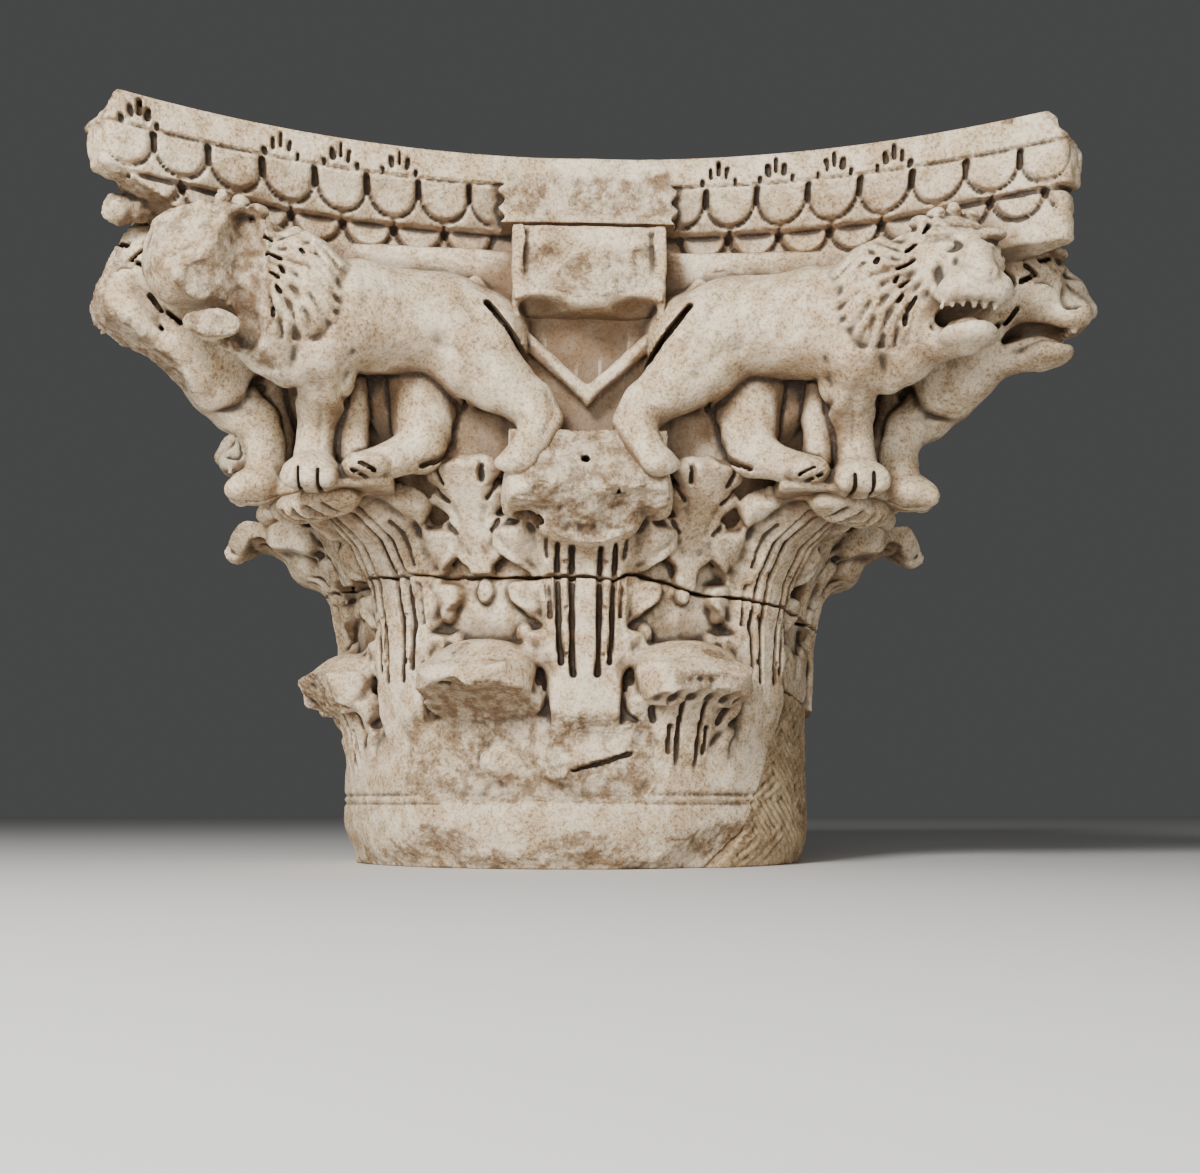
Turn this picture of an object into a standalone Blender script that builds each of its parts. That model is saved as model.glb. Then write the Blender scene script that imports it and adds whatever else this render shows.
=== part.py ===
"""Marble capital carved with lions: two rejoined fragments of one block and a tooled repair fill.

Eight lions stand in pairs at the corners, under a concave abacus covered with scales, on two rows of
acanthus leaves round the bell. The block has broken through at mid height and stands rejoined, and the
lower right of its collar is made up with a fill. Metres, +Z up, origin at the middle of the lower bed,
with the front towards -Y.
"""

import math

import bmesh
import bpy
from mathutils import Matrix, Vector

# Overall sizes of the block
HEIGHT = 0.80
REACH = 0.53  # from the axis to the end of a side of the abacus
BELL_FOOT_RADIUS = 0.286
BELL_LIP_RADIUS = 0.350

# Abacus: an upper and a lower tier, both concave in plan
UPPER_TIER_HEIGHT = 0.080
LOWER_TIER_HEIGHT = 0.055
SIDE_SAG = 0.150  # how far the middle of a side lies behind its ends
HORN_CUT = 0.050  # the width that each corner loses on either side
UPPER_SETBACK = 0.010  # from the top band back to the head of the upper row of scales
SCALE_SLOPE = 0.028  # how far the face that carries them draws in below that
LOWER_SETBACK = 0.004  # from the foot of that face back to the lower tier
BAND_HEIGHT = 0.032  # the plain band over the scales

# Scales of the abacus
SCALE_PITCH = 0.060
SCALE_HEIGHT = 0.041
SCALE_RELIEF = 0.006
SCALE_GAP = 0.005
PLAIN_MIDDLE = 0.100  # the scales stop this far from the middle of a side, where an ornament is lost

# Tablet at the middle of each side, with the stump of its ornament
TABLET_WIDTH = 0.158
TABLET_HEIGHT = 0.095
TABLET_DEPTH = 0.040
TABLET_DROP = 0.014  # from the upper tier down to the head of the tablet
STRIP_WIDTH = 0.012
STRIP_OVERHANG = 0.020  # how far the strips run down past the tablet
STUMP_RADIUS = 0.024

# Collar at the foot
COLLAR_HEIGHT = 0.085
COLLAR_ROLL = 0.012

# Leaves: rows counted from the foot
LEAVES_IN_ROW = 8
LOW_LEAF_TOP = 0.238
LOW_LEAF_REACH = 0.372
LOW_LEAF_WIDTH = 0.150
HIGH_LEAF_TOP = 0.435
HIGH_LEAF_REACH = 0.460
HIGH_LEAF_WIDTH = 0.165
CALYX_TOP = 0.462
CALYX_WIDTH = 0.120
LEAF_THICKNESS = 0.026

# Drilled channels in the stems of the high leaves
CHANNEL_WIDTH = 0.006
CHANNEL_DEPTH = 0.010
CHANNEL_SPACING = 0.022
CHANNEL_TOP = 0.315
CHANNEL_FOOT = 0.150

# Lions, and the mass that they are carved from
LION_TORSO_RADIUS = 0.066
LION_LEG_RADIUS = 0.025
LION_TAIL_RADIUS = 0.011
LION_RISE = 0.287  # half the height of its chest, as a share of the height that the lions stand in
CORE_SETBACK = 0.115  # from the ends of the abacus back to the wall behind the lions
CORE_SAG = 0.045
CORE_CORNER = 0.170  # the width that each corner of the wall loses on either side
CORE_TAPER = 0.90  # how far the wall draws in at its foot
FACE_LOSS = 0.030  # how much of the two faces at the left corner has broken off

# Break through the block, and the fill
BREAK_HEIGHT = 0.326
BREAK_SLOPE = 0.070  # how far it falls towards +X, in metres a metre
BREAK_WAVE = 0.004
JOINT_GAP = 0.0004
FILL_TURN = math.radians(66)  # the fill faces this way, turned from the front
FILL_THICKNESS = 0.083
FILL_PROUD = 0.003  # how far the fill stands out from the foot of the bell
FILL_HEIGHT = 0.212
FILL_FOOT_LEFT = 0.170  # from the middle of the fill to its left end at the foot
FILL_TOP_LEFT = 0.055  # and at the top
FILL_RIGHT = 0.170
FILL_SHOULDER = 0.030  # how far its top falls away to the right

# How finely the carved mass is modelled
MASS_VOXEL = 0.006
MASS_TRIANGLES = 3900

UPPER_TIER_FOOT = HEIGHT - UPPER_TIER_HEIGHT
LOWER_TIER_FOOT = UPPER_TIER_FOOT - LOWER_TIER_HEIGHT
LION_SPACE = LOWER_TIER_FOOT - HIGH_LEAF_TOP
QUARTER_TURN = math.pi / 2
OVERLAP = 0.004

STONE_COLOUR = (0.62, 0.53, 0.41, 1.0)
FILL_COLOUR = (0.40, 0.31, 0.22, 1.0)


def clear_scene():
    for old in list(bpy.data.objects):
        bpy.data.objects.remove(old, do_unlink=True)


def new_collection(name, is_cutters=False):
    collection = bpy.data.collections.new(name)
    bpy.context.scene.collection.children.link(collection)
    collection.hide_render = is_cutters
    return collection


def stone_material(name, colour, roughness):
    material = bpy.data.materials.new(name)
    material.use_nodes = True
    shader = material.node_tree.nodes["Principled BSDF"]
    shader.inputs["Base Color"].default_value = colour
    shader.inputs["Roughness"].default_value = roughness
    shader.inputs["Metallic"].default_value = 0.0
    return material


def object_from(mesh, name):
    made = bpy.data.objects.new(name, mesh)
    bpy.context.scene.collection.objects.link(made)
    return made


def mesh_object(shape, name):
    """A bmesh as an object."""
    mesh = bpy.data.meshes.new(name)
    shape.to_mesh(mesh)
    shape.free()
    return object_from(mesh, name)


def settled(source):
    """The object as its modifiers leave it, as a plain welded mesh, with its place in its points."""
    bpy.context.view_layer.update()
    graph = bpy.context.evaluated_depsgraph_get()
    mesh = bpy.data.meshes.new_from_object(source.evaluated_get(graph))
    mesh.transform(source.matrix_world)
    shape = bmesh.new()
    shape.from_mesh(mesh)
    bmesh.ops.remove_doubles(shape, verts=shape.verts, dist=0.00005)
    bmesh.ops.recalc_face_normals(shape, faces=shape.faces)
    shape.to_mesh(mesh)
    shape.free()
    name = source.name
    bpy.data.objects.remove(source, do_unlink=True)
    return object_from(mesh, name)


def joined(parts, name):
    """Several objects as one mesh, still as separate shells."""
    shape = bmesh.new()
    for part in parts:
        shape.from_mesh(part.data)
        bpy.data.objects.remove(part, do_unlink=True)
    return mesh_object(shape, name)


def copies(source, places):
    made = []
    for place in places:
        mesh = source.data.copy()
        mesh.transform(place)
        if place.determinant() < 0:
            mesh.flip_normals()
        made.append(object_from(mesh, source.name))
    bpy.data.objects.remove(source, do_unlink=True)
    return made


def four_sides():
    return [Matrix.Rotation(turn * QUARTER_TURN, 4, "Z") for turn in range(4)]


def eight_lions():
    mirror = Matrix.Scale(-1, 4, Vector((1, 0, 0)))
    return [turn @ half for turn in four_sides() for half in (Matrix.Identity(4), mirror)]


def boolean(target, other, operation):
    cut = target.modifiers.new(operation.title(), "BOOLEAN")
    cut.operation = operation
    cut.solver = "EXACT"
    cut.object = other
    done = settled(target)
    bpy.data.objects.remove(other, do_unlink=True)
    return done


def tube(points, radii, sides=10):
    """A limb: a round section swept through the points, each with its own radius."""
    curve = bpy.data.curves.new("limb", "CURVE")
    curve.dimensions = "3D"
    curve.bevel_depth = 1.0
    curve.bevel_resolution = max(1, sides // 2 - 2)
    curve.use_fill_caps = True
    spline = curve.splines.new("BEZIER")
    spline.bezier_points.add(len(points) - 1)
    for knot, point, radius in zip(spline.bezier_points, points, radii):
        knot.co = point
        knot.radius = radius
        knot.handle_left_type = knot.handle_right_type = "AUTO"
    spline.resolution_u = 4
    return settled(object_from(curve, "limb"))


def ball(centre, radii, turn=0.0):
    """An ellipsoid, turned about the upright."""
    shape = bmesh.new()
    place = Matrix.Translation(centre) @ Matrix.Rotation(turn, 4, "Z") @ Matrix.Diagonal((*radii, 1.0))
    bmesh.ops.create_uvsphere(shape, u_segments=16, v_segments=10, radius=1.0, matrix=place)
    return mesh_object(shape, "mass")


def box(centre, size, turn=Matrix.Identity(4)):
    shape = bmesh.new()
    place = Matrix.Translation(centre) @ turn @ Matrix.Diagonal((*size, 1.0))
    bmesh.ops.create_cube(shape, size=1.0, matrix=place)
    return mesh_object(shape, "box")


def between(values, share):
    """A value read off evenly spaced values at a share from 0 to 1."""
    place = min(max(share, 0.0), 1.0) * (len(values) - 1)
    low = min(int(place), len(values) - 2)
    return values[low] + (values[low + 1] - values[low]) * (place - low)


def bell_radius(z):
    """The bell flares slowly up to its lip under the abacus."""
    share = max(0.0, (z - COLLAR_HEIGHT) / (LOWER_TIER_FOOT - COLLAR_HEIGHT))
    return BELL_FOOT_RADIUS + (BELL_LIP_RADIUS - BELL_FOOT_RADIUS) * share**2.2


def make_bell():
    """The bell and its collar, turned round the axis. The profile runs down its outer side."""
    steps = 8
    top = LOWER_TIER_FOOT + OVERLAP
    levels = [top - (top - COLLAR_HEIGHT) * step / steps for step in range(steps + 1)]
    outline = [(0.0, top)] + [(bell_radius(z), z) for z in levels]
    outline += [
        (BELL_FOOT_RADIUS + COLLAR_ROLL, COLLAR_HEIGHT - COLLAR_ROLL),
        (BELL_FOOT_RADIUS + COLLAR_ROLL, COLLAR_HEIGHT - 3 * COLLAR_ROLL),
        (BELL_FOOT_RADIUS, 0.0),
        (BELL_FOOT_RADIUS, -OVERLAP),
        (0.0, -OVERLAP),
    ]
    mesh = bpy.data.meshes.new("bell")
    mesh.from_pydata([(r, 0.0, z) for r, z in outline], [(i, i + 1) for i in range(len(outline) - 1)], [])
    made = object_from(mesh, "bell")
    turned = made.modifiers.new("Turned", "SCREW")
    turned.steps = turned.render_steps = 64
    turned.use_merge_vertices = True
    turned.merge_threshold = 0.00005
    return settled(made)


def side_arc(setback, steps, reach=REACH, sag=SIDE_SAG, horn=HORN_CUT):
    """Points (x, y) of the front side in plan, from left to right, along an arc."""
    half = reach - horn
    radius = (half**2 + sag**2) / (2 * sag)
    spread = math.asin(half / radius)
    middle = -(reach - setback - sag)
    points = []
    for step in range(steps + 1):
        angle = spread * (2 * step / steps - 1)
        points.append((radius * math.sin(angle), middle - radius * (1 - math.cos(angle))))
    return points


def concave_block(setback, low, high, steps, reach=REACH, sag=SIDE_SAG, horn=HORN_CUT, draw=0.0):
    """A block of concave square plan with cut corners, its foot drawn in most at the middles of the sides."""
    head = []
    for turn in four_sides():
        head += [turn @ Vector((x, y, high)) for x, y in side_arc(setback, steps, reach, sag, horn)]
    foot = []
    for point in head:
        near = max(abs(point.x), abs(point.y))
        ease = max(0.35, min(1.0, 1.6 * (reach - near) / (setback + sag)))
        share = 1 - draw * ease / near
        foot.append(Vector((point.x * share, point.y * share, low)))
    shape = bmesh.new()
    rings = [[shape.verts.new(point) for point in ring] for ring in (head, foot)]
    count = len(head)
    for number in range(count):
        after = (number + 1) % count
        shape.faces.new((rings[0][number], rings[1][number], rings[1][after], rings[0][after]))
    shape.faces.new(rings[0])
    shape.faces.new(rings[1][::-1])
    bmesh.ops.recalc_face_normals(shape, faces=shape.faces)
    return mesh_object(shape, "tier")


def scale_row(setback, top, half_step, slope):
    """One row of tongue-shaped scales along the front side, each a low plate that stands off the face."""
    half = REACH - HORN_CUT
    radius = (half**2 + SIDE_SAG**2) / (2 * SIDE_SAG)
    middle = REACH - setback - SIDE_SAG
    reach = radius * math.asin(half / radius) - SCALE_PITCH / 2
    count = int(reach / SCALE_PITCH - half_step / 2)
    width = SCALE_PITCH - SCALE_GAP
    made = []
    for number in range(-count - (0 if half_step == 0 else 1), count + 1):
        angle = (number + half_step / 2) * SCALE_PITCH / radius
        if abs(radius * math.sin(angle)) < PLAIN_MIDDLE:
            continue
        curve = bpy.data.curves.new("scale", "CURVE")
        curve.dimensions = "2D"
        curve.fill_mode = "BOTH"
        curve.extrude = SCALE_RELIEF
        round_points = 6
        turns = [math.pi * step / (round_points - 1) for step in range(round_points)]
        outline = [(-width / 2 * math.cos(a), -SCALE_HEIGHT * math.sin(a) ** 0.8) for a in turns]
        spline = curve.splines.new("POLY")
        spline.points.add(round_points - 1)
        for knot, (across, down) in zip(spline.points, outline):
            knot.co = (across, down, 0.0, 1.0)
        spline.use_cyclic_u = True
        plate = object_from(curve, "scale")
        place = Vector((radius * math.sin(angle), -middle - radius * (1 - math.cos(angle)), top))
        plate.matrix_world = (
            Matrix.Translation(place)
            @ Matrix.Rotation(-angle, 4, "Z")
            @ Matrix.Rotation(QUARTER_TURN + slope, 4, "X")
        )
        made.append(settled(plate))
    return made


def make_abacus():
    """Two tiers with a plain band at the top and three rows of scales round all four sides."""
    band = concave_block(0.0, HEIGHT - BAND_HEIGHT, HEIGHT + OVERLAP, 12)
    band_foot = HEIGHT - BAND_HEIGHT
    upper = concave_block(UPPER_SETBACK, UPPER_TIER_FOOT, band_foot + OVERLAP, 12, draw=SCALE_SLOPE)
    lower_setback = UPPER_SETBACK + SCALE_SLOPE + LOWER_SETBACK
    lower = concave_block(lower_setback, LOWER_TIER_FOOT, UPPER_TIER_FOOT + OVERLAP, 12)
    slope = math.atan2(SCALE_SLOPE, UPPER_TIER_HEIGHT - BAND_HEIGHT)
    rows = scale_row(UPPER_SETBACK, band_foot + OVERLAP, 0, slope)
    rows += scale_row(lower_setback, UPPER_TIER_FOOT + OVERLAP, 1, math.radians(4))
    scales = [scale for row in rows for scale in copies(row, four_sides())]
    whole = boolean(band, upper, "UNION")
    whole = boolean(whole, lower, "UNION")
    gathered = bpy.data.collections.new("scales")
    for scale in scales:
        gathered.objects.link(scale)
    union = whole.modifiers.new("Scales", "BOOLEAN")
    union.operation = "UNION"
    union.solver = "EXACT"
    union.operand_type = "COLLECTION"
    union.collection = gathered
    whole = settled(whole)
    for scale in scales:
        bpy.data.objects.remove(scale, do_unlink=True)
    bpy.data.collections.remove(gathered)
    return whole


def make_tablet():
    """The tablet at the middle of the front side, between two strips that run down to the tails."""
    face = REACH - SIDE_SAG + TABLET_DEPTH
    depth = face - (REACH - CORE_SETBACK - CORE_SAG) + OVERLAP
    top = UPPER_TIER_FOOT - TABLET_DROP
    parts = [box((0, depth / 2 - face, top - TABLET_HEIGHT / 2), (TABLET_WIDTH, depth, TABLET_HEIGHT))]
    strip = Vector((STRIP_WIDTH, depth, TABLET_HEIGHT + STRIP_OVERHANG))
    for side in (-1, 1):
        across = side * (TABLET_WIDTH - STRIP_WIDTH) / 2
        parts.append(box((across, depth / 2 - face - STRIP_WIDTH / 2, top - strip.z / 2), strip))
    stump = Vector((0.0, -face, top - TABLET_HEIGHT * 0.72))
    parts.append(ball(stump, (STUMP_RADIUS, STUMP_RADIUS * 1.2, STUMP_RADIUS)))
    return parts


def leaf(turn, profile, widths, lobes, hollow):
    """An acanthus leaf: a sheet that climbs the bell and bends out, with a lobed edge, thick as one skin."""
    across, along = 8, 4 * lobes
    shape = bmesh.new()
    bmesh.ops.create_grid(shape, x_segments=across, y_segments=along, size=1.0)
    radii = [r for r, _ in profile]
    levels = [z for _, z in profile]
    for vert in shape.verts:
        side, share = vert.co.x, (vert.co.y + 1) / 2
        edge = 1.0 - 0.16 * (0.5 + 0.5 * math.cos(2 * math.pi * lobes * share))
        offset = side * between(widths, share) * edge
        radius = between(radii, share) - hollow * (1 - math.cos(math.pi * side)) / 2
        angle = turn - QUARTER_TURN + offset / radius
        vert.co = (radius * math.cos(angle), radius * math.sin(angle), between(levels, share))
    made = mesh_object(shape, "leaf")
    skin = made.modifiers.new("Skin", "SOLIDIFY")
    skin.thickness = LEAF_THICKNESS
    skin.offset = 0.0
    return settled(made)


def make_leaves():
    """A low row, a high row between them whose tips carry the lions, and flat calyx leaves behind."""
    foot = COLLAR_HEIGHT
    rise = LOW_LEAF_TOP - foot
    reach = LOW_LEAF_REACH - BELL_FOOT_RADIUS
    low_profile = [
        (BELL_FOOT_RADIUS + out * reach, foot + up * rise)
        for out, up in ((0.0, 0.0), (0.1, 0.35), (0.22, 0.68), (0.5, 0.92), (0.82, 0.97), (1.0, 0.80))
    ]
    low_widths = [LOW_LEAF_WIDTH / 2 * share for share in (0.75, 0.95, 1.0, 1.0, 0.85, 0.45)]
    rise = HIGH_LEAF_TOP - foot
    reach = HIGH_LEAF_REACH - BELL_FOOT_RADIUS
    high_profile = [
        (BELL_FOOT_RADIUS + out * reach, foot + up * rise)
        for out, up in (
            (0.03, 0.0), (0.06, 0.2), (0.09, 0.4), (0.14, 0.6), (0.3, 0.78), (0.58, 0.92), (0.86, 0.98), (1.0, 0.90),
        )
    ]
    high_widths = [HIGH_LEAF_WIDTH / 2 * share for share in (0.5, 0.55, 0.6, 0.78, 1.0, 1.0, 0.8, 0.4)]
    calyx_foot = LOW_LEAF_TOP + LEAF_THICKNESS
    calyx_levels = [calyx_foot + (CALYX_TOP - calyx_foot) * step / 4 for step in range(5)]
    calyx_profile = [(bell_radius(z) + LEAF_THICKNESS * 0.4, z) for z in calyx_levels]
    calyx_widths = [CALYX_WIDTH / 2 * share for share in (0.45, 0.7, 1.0, 0.95, 0.55)]
    made = []
    for number in range(LEAVES_IN_ROW):
        high_turn = number * 2 * math.pi / LEAVES_IN_ROW
        low_turn = high_turn + math.pi / LEAVES_IN_ROW
        if abs(low_turn - FILL_TURN) > math.pi / LEAVES_IN_ROW:  # the fill has taken one leaf's place
            made.append(leaf(low_turn, low_profile, low_widths, 3, LEAF_THICKNESS * 0.46))
        made.append(leaf(high_turn, high_profile, high_widths, 4, LEAF_THICKNESS * 0.54))
        made.append(leaf(low_turn, calyx_profile, calyx_widths, 3, LEAF_THICKNESS * 0.15))
    return made


def lion_point(along, out, up):
    """A place in a lion's own shares: along the side and out from the axis by the reach, up by its space."""
    return Vector((along * REACH, -out * REACH, HIGH_LEAF_TOP + up * LION_SPACE))


def make_lion():
    """The right-hand lion of the front side: rump at the middle of the side, head at the corner."""
    torso = LION_TORSO_RADIUS
    rise = LION_RISE * LION_SPACE
    leg = LION_LEG_RADIUS
    spine = [(0.21, 0.63, 0.64), (0.30, 0.685, 0.72), (0.39, 0.73, 0.74), (0.50, 0.79, 0.70), (0.60, 0.83, 0.80)]
    parts = [tube([lion_point(*p) for p in spine], [torso * r for r in (0.86, 0.95, 0.98, 1.05, 1.1)], 14)]
    parts.append(ball(lion_point(0.25, 0.68, 0.55), (torso * 0.95, torso * 0.75, rise * 1.05)))
    parts.append(ball(lion_point(0.52, 0.82, 0.55), (torso * 0.85, torso * 0.75, rise * 1.1)))
    parts.append(ball(lion_point(0.64, 0.86, 0.82), (torso * 1.22, torso * 1.1, rise * 1.32)))
    parts.append(ball(lion_point(0.71, 0.935, 0.80), (torso * 0.80, torso * 0.85, rise * 0.95)))
    parts.append(ball(lion_point(0.72, 1.02, 0.72), (torso * 0.56, torso * 0.5, rise * 0.36)))
    parts.append(ball(lion_point(0.72, 1.00, 0.53), (torso * 0.5, torso * 0.5, rise * 0.26)))
    near_front = [(0.52, 0.83, 0.62), (0.53, 0.79, 0.42), (0.555, 0.69, 0.18), (0.56, 0.68, 0.02)]
    far_front = [(0.54, 0.70, 0.62), (0.51, 0.65, 0.40), (0.50, 0.61, 0.20), (0.50, 0.60, -0.06)]
    near_hind = [(0.22, 0.70, 0.58), (0.135, 0.755, 0.36), (0.115, 0.74, 0.22), (0.13, 0.75, 0.08)]
    far_hind = [(0.36, 0.66, 0.62), (0.33, 0.66, 0.38), (0.32, 0.67, 0.18), (0.36, 0.71, 0.04)]
    for joints, sizes in (
        (near_front, (1.6, 1.15, 0.95, 1.1)),
        (far_front, (1.5, 1.0, 0.9, 1.0)),
        (near_hind, (1.9, 1.1, 0.9, 1.0)),
        (far_hind, (2.0, 1.45, 1.1, 1.1)),
    ):
        parts.append(tube([lion_point(*p) for p in joints], [leg * r for r in sizes]))
    for paw in ((0.57, 0.715, 0.02), (0.13, 0.78, 0.05), (0.41, 0.76, -0.02)):
        parts.append(ball(lion_point(*paw), (leg * 1.35, leg * 1.35, leg * 0.9)))
    tail = [(0.21, 0.66, 0.86), (0.14, 0.66, 0.68), (0.05, 0.655, 0.46), (-0.01, 0.65, 0.32), (0.04, 0.68, 0.2)]
    parts.append(tube([lion_point(*p) for p in tail], [LION_TAIL_RADIUS] * len(tail), 8))
    return joined(parts, "lion")


def make_mass():
    """Bell, leaves, lions and tablets grown together as one carved mass."""
    parts = [make_bell()] + make_leaves()
    core_foot = HIGH_LEAF_TOP + LION_SPACE * 0.06
    core_top = LOWER_TIER_FOOT + OVERLAP
    core = concave_block(0.0, core_foot, core_top, 8, REACH - CORE_SETBACK, CORE_SAG, CORE_CORNER)
    for vert in core.data.vertices:
        draw = 1 - (1 - CORE_TAPER) * (core_top - vert.co.z) / (core_top - core_foot)
        vert.co.x *= draw
        vert.co.y *= draw
    parts.append(core)
    for piece in make_tablet():
        parts += copies(piece, four_sides())
    parts += copies(make_lion(), eight_lions())
    # The high leaf at the middle of each side carries the hind feet on a broad broken tip.
    wide, deep = HIGH_LEAF_WIDTH * 0.515, LEAF_THICKNESS * 1.8
    stub = ball((0.0, CORE_SETBACK + CORE_SAG - REACH, HIGH_LEAF_TOP), (wide, deep, deep))
    parts += copies(stub, four_sides())
    mass = joined(parts, "mass")
    grown = mass.modifiers.new("Grown together", "REMESH")
    grown.mode = "VOXEL"
    grown.voxel_size = MASS_VOXEL
    eased = mass.modifiers.new("Eased", "SMOOTH")
    eased.factor = 0.5
    eased.iterations = 3
    mass = settled(mass)
    thinned = mass.modifiers.new("Thinned", "DECIMATE")
    thinned.ratio = MASS_TRIANGLES / (2 * len(mass.data.polygons))
    return settled(mass)


def break_block(lift):
    """A block whose underside is the wavy face of the break, raised by a lift."""
    shape = bmesh.new()
    bmesh.ops.create_grid(shape, x_segments=11, y_segments=11, size=HIGH_LEAF_REACH * 1.69)
    bmesh.ops.triangulate(shape, faces=shape.faces[:])
    for vert in shape.verts:
        x, y = vert.co.x / HIGH_LEAF_REACH, vert.co.y / HIGH_LEAF_REACH
        wave = math.sin(3.56 * x + 0.6) * math.cos(2.86 * y) + 0.5 * math.sin(6.08 * x - 1.74 * y)
        vert.co.z = BREAK_HEIGHT + lift - BREAK_SLOPE * vert.co.x + BREAK_WAVE * wave
    grown = bmesh.ops.extrude_face_region(shape, geom=shape.faces[:])
    for item in grown["geom"]:
        if isinstance(item, bmesh.types.BMVert):
            item.co.z = HEIGHT + 0.1
    bmesh.ops.recalc_face_normals(shape, faces=shape.faces)
    return mesh_object(shape, "break")


def fill_block(ease):
    """The space that the fill takes out of the lower right of the block, grown by an ease on all sides."""
    foot = -FILL_SHOULDER
    outline = [
        (-FILL_FOOT_LEFT - ease, foot),
        (FILL_RIGHT + ease, foot),
        (FILL_RIGHT + ease, FILL_HEIGHT - FILL_SHOULDER + ease),
        (-FILL_TOP_LEFT - ease, FILL_HEIGHT + ease),
    ]
    depth = 2 * FILL_THICKNESS
    curve = bpy.data.curves.new("fill", "CURVE")
    curve.dimensions = "2D"
    curve.fill_mode = "BOTH"
    curve.extrude = depth / 2
    spline = curve.splines.new("POLY")
    spline.points.add(len(outline) - 1)
    for knot, (across, up) in zip(spline.points, outline):
        knot.co = (across, up, 0.0, 1.0)
    spline.use_cyclic_u = True
    made = object_from(curve, "fill")
    back = BELL_FOOT_RADIUS - FILL_THICKNESS - ease + depth / 2
    made.matrix_world = (
        Matrix.Rotation(FILL_TURN, 4, "Z") @ Matrix.Translation((0, -back, 0)) @ Matrix.Rotation(QUARTER_TURN, 4, "X")
    )
    return settled(made)


def make_fill():
    """The fill: a block of mortar, round outside and flat behind, that makes up the missing collar."""
    shape = bmesh.new()
    tall = 2 * FILL_HEIGHT
    middle = Matrix.Translation((0, 0, tall / 2))
    out = BELL_FOOT_RADIUS + FILL_PROUD
    bmesh.ops.create_cone(shape, cap_ends=True, segments=48, radius1=out, radius2=out, depth=tall, matrix=middle)
    drum = mesh_object(shape, "repair_fill")
    return boolean(drum, fill_block(0.0), "INTERSECT")


def channel_cutters():
    """Upright drilled channels, four in the stem of each high leaf."""
    shape = bmesh.new()
    middle = (CHANNEL_TOP + CHANNEL_FOOT) / 2
    out = bell_radius(middle) + LEAF_THICKNESS / 2
    for number in range(LEAVES_IN_ROW):
        turn = Matrix.Rotation(number * 2 * math.pi / LEAVES_IN_ROW, 4, "Z")
        for place in (-1, 0, 1):
            length = (CHANNEL_TOP - CHANNEL_FOOT) * (0.8 if place else 1.0)
            at = Matrix.Translation((place * CHANNEL_SPACING, -out - CHANNEL_DEPTH, CHANNEL_TOP - length / 2))
            size = Matrix.Diagonal((CHANNEL_WIDTH, 4 * CHANNEL_DEPTH, length, 1.0))
            bmesh.ops.create_cube(shape, size=1.0, matrix=turn @ at @ size)
    return mesh_object(shape, "channels")


def lost_faces():
    """What the blows at the left corner took: the muzzles of its two lions and the tip of the lower tier."""
    reach = REACH * 1.055 - FACE_LOSS
    muzzle = (HORN_CUT * 6, HORN_CUT * 4, LION_SPACE * 1.1)
    level = HIGH_LEAF_TOP + LION_SPACE * 0.55
    lean = Matrix.Rotation(math.radians(-6), 4, "Z")
    front = box((-REACH * 0.72, -reach - muzzle[1] / 2, level), muzzle, lean)
    side = box((-reach - muzzle[1] / 2, -REACH * 0.72, level), (muzzle[1], muzzle[0], muzzle[2]), lean.inverted())
    corner = Vector((-REACH, -REACH, (LOWER_TIER_FOOT + UPPER_TIER_FOOT) / 2 - OVERLAP))
    diagonal = Matrix.Rotation(math.radians(45), 4, "Z")
    tip = box(corner, (3 * HORN_CUT, 3 * HORN_CUT, LOWER_TIER_HEIGHT), diagonal)
    return joined([front, side, tip], "lost")


def main():
    clear_scene()
    capital = new_collection("lion capital")
    mass = make_mass()
    mass = boolean(mass, channel_cutters(), "DIFFERENCE")
    whole = boolean(mass, make_abacus(), "UNION")
    whole = boolean(whole, lost_faces(), "DIFFERENCE")
    beds = box((0, 0, HEIGHT / 2), (3 * REACH, 3 * REACH, HEIGHT))
    whole = boolean(whole, beds, "INTERSECT")
    whole = boolean(whole, fill_block(JOINT_GAP), "DIFFERENCE")
    upper = copies(whole, [Matrix.Identity(4)] * 2)
    lower = upper.pop()
    upper = boolean(upper[0], break_block(JOINT_GAP), "INTERSECT")
    lower = boolean(lower, break_block(0.0), "DIFFERENCE")
    upper.name = "upper_stone"
    lower.name = "lower_stone"
    fill = make_fill()
    stone = stone_material("marble", STONE_COLOUR, 0.8)
    mortar = stone_material("fill_mortar", FILL_COLOUR, 0.95)
    for piece, material in ((upper, stone), (lower, stone), (fill, mortar)):
        for old in list(piece.users_collection):
            old.objects.unlink(piece)
        capital.objects.link(piece)
        piece.data.materials.clear()
        piece.data.materials.append(material)


main()
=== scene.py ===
import math

import bpy
import numpy as np
import openvdb
from mathutils import Matrix, Vector


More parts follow.
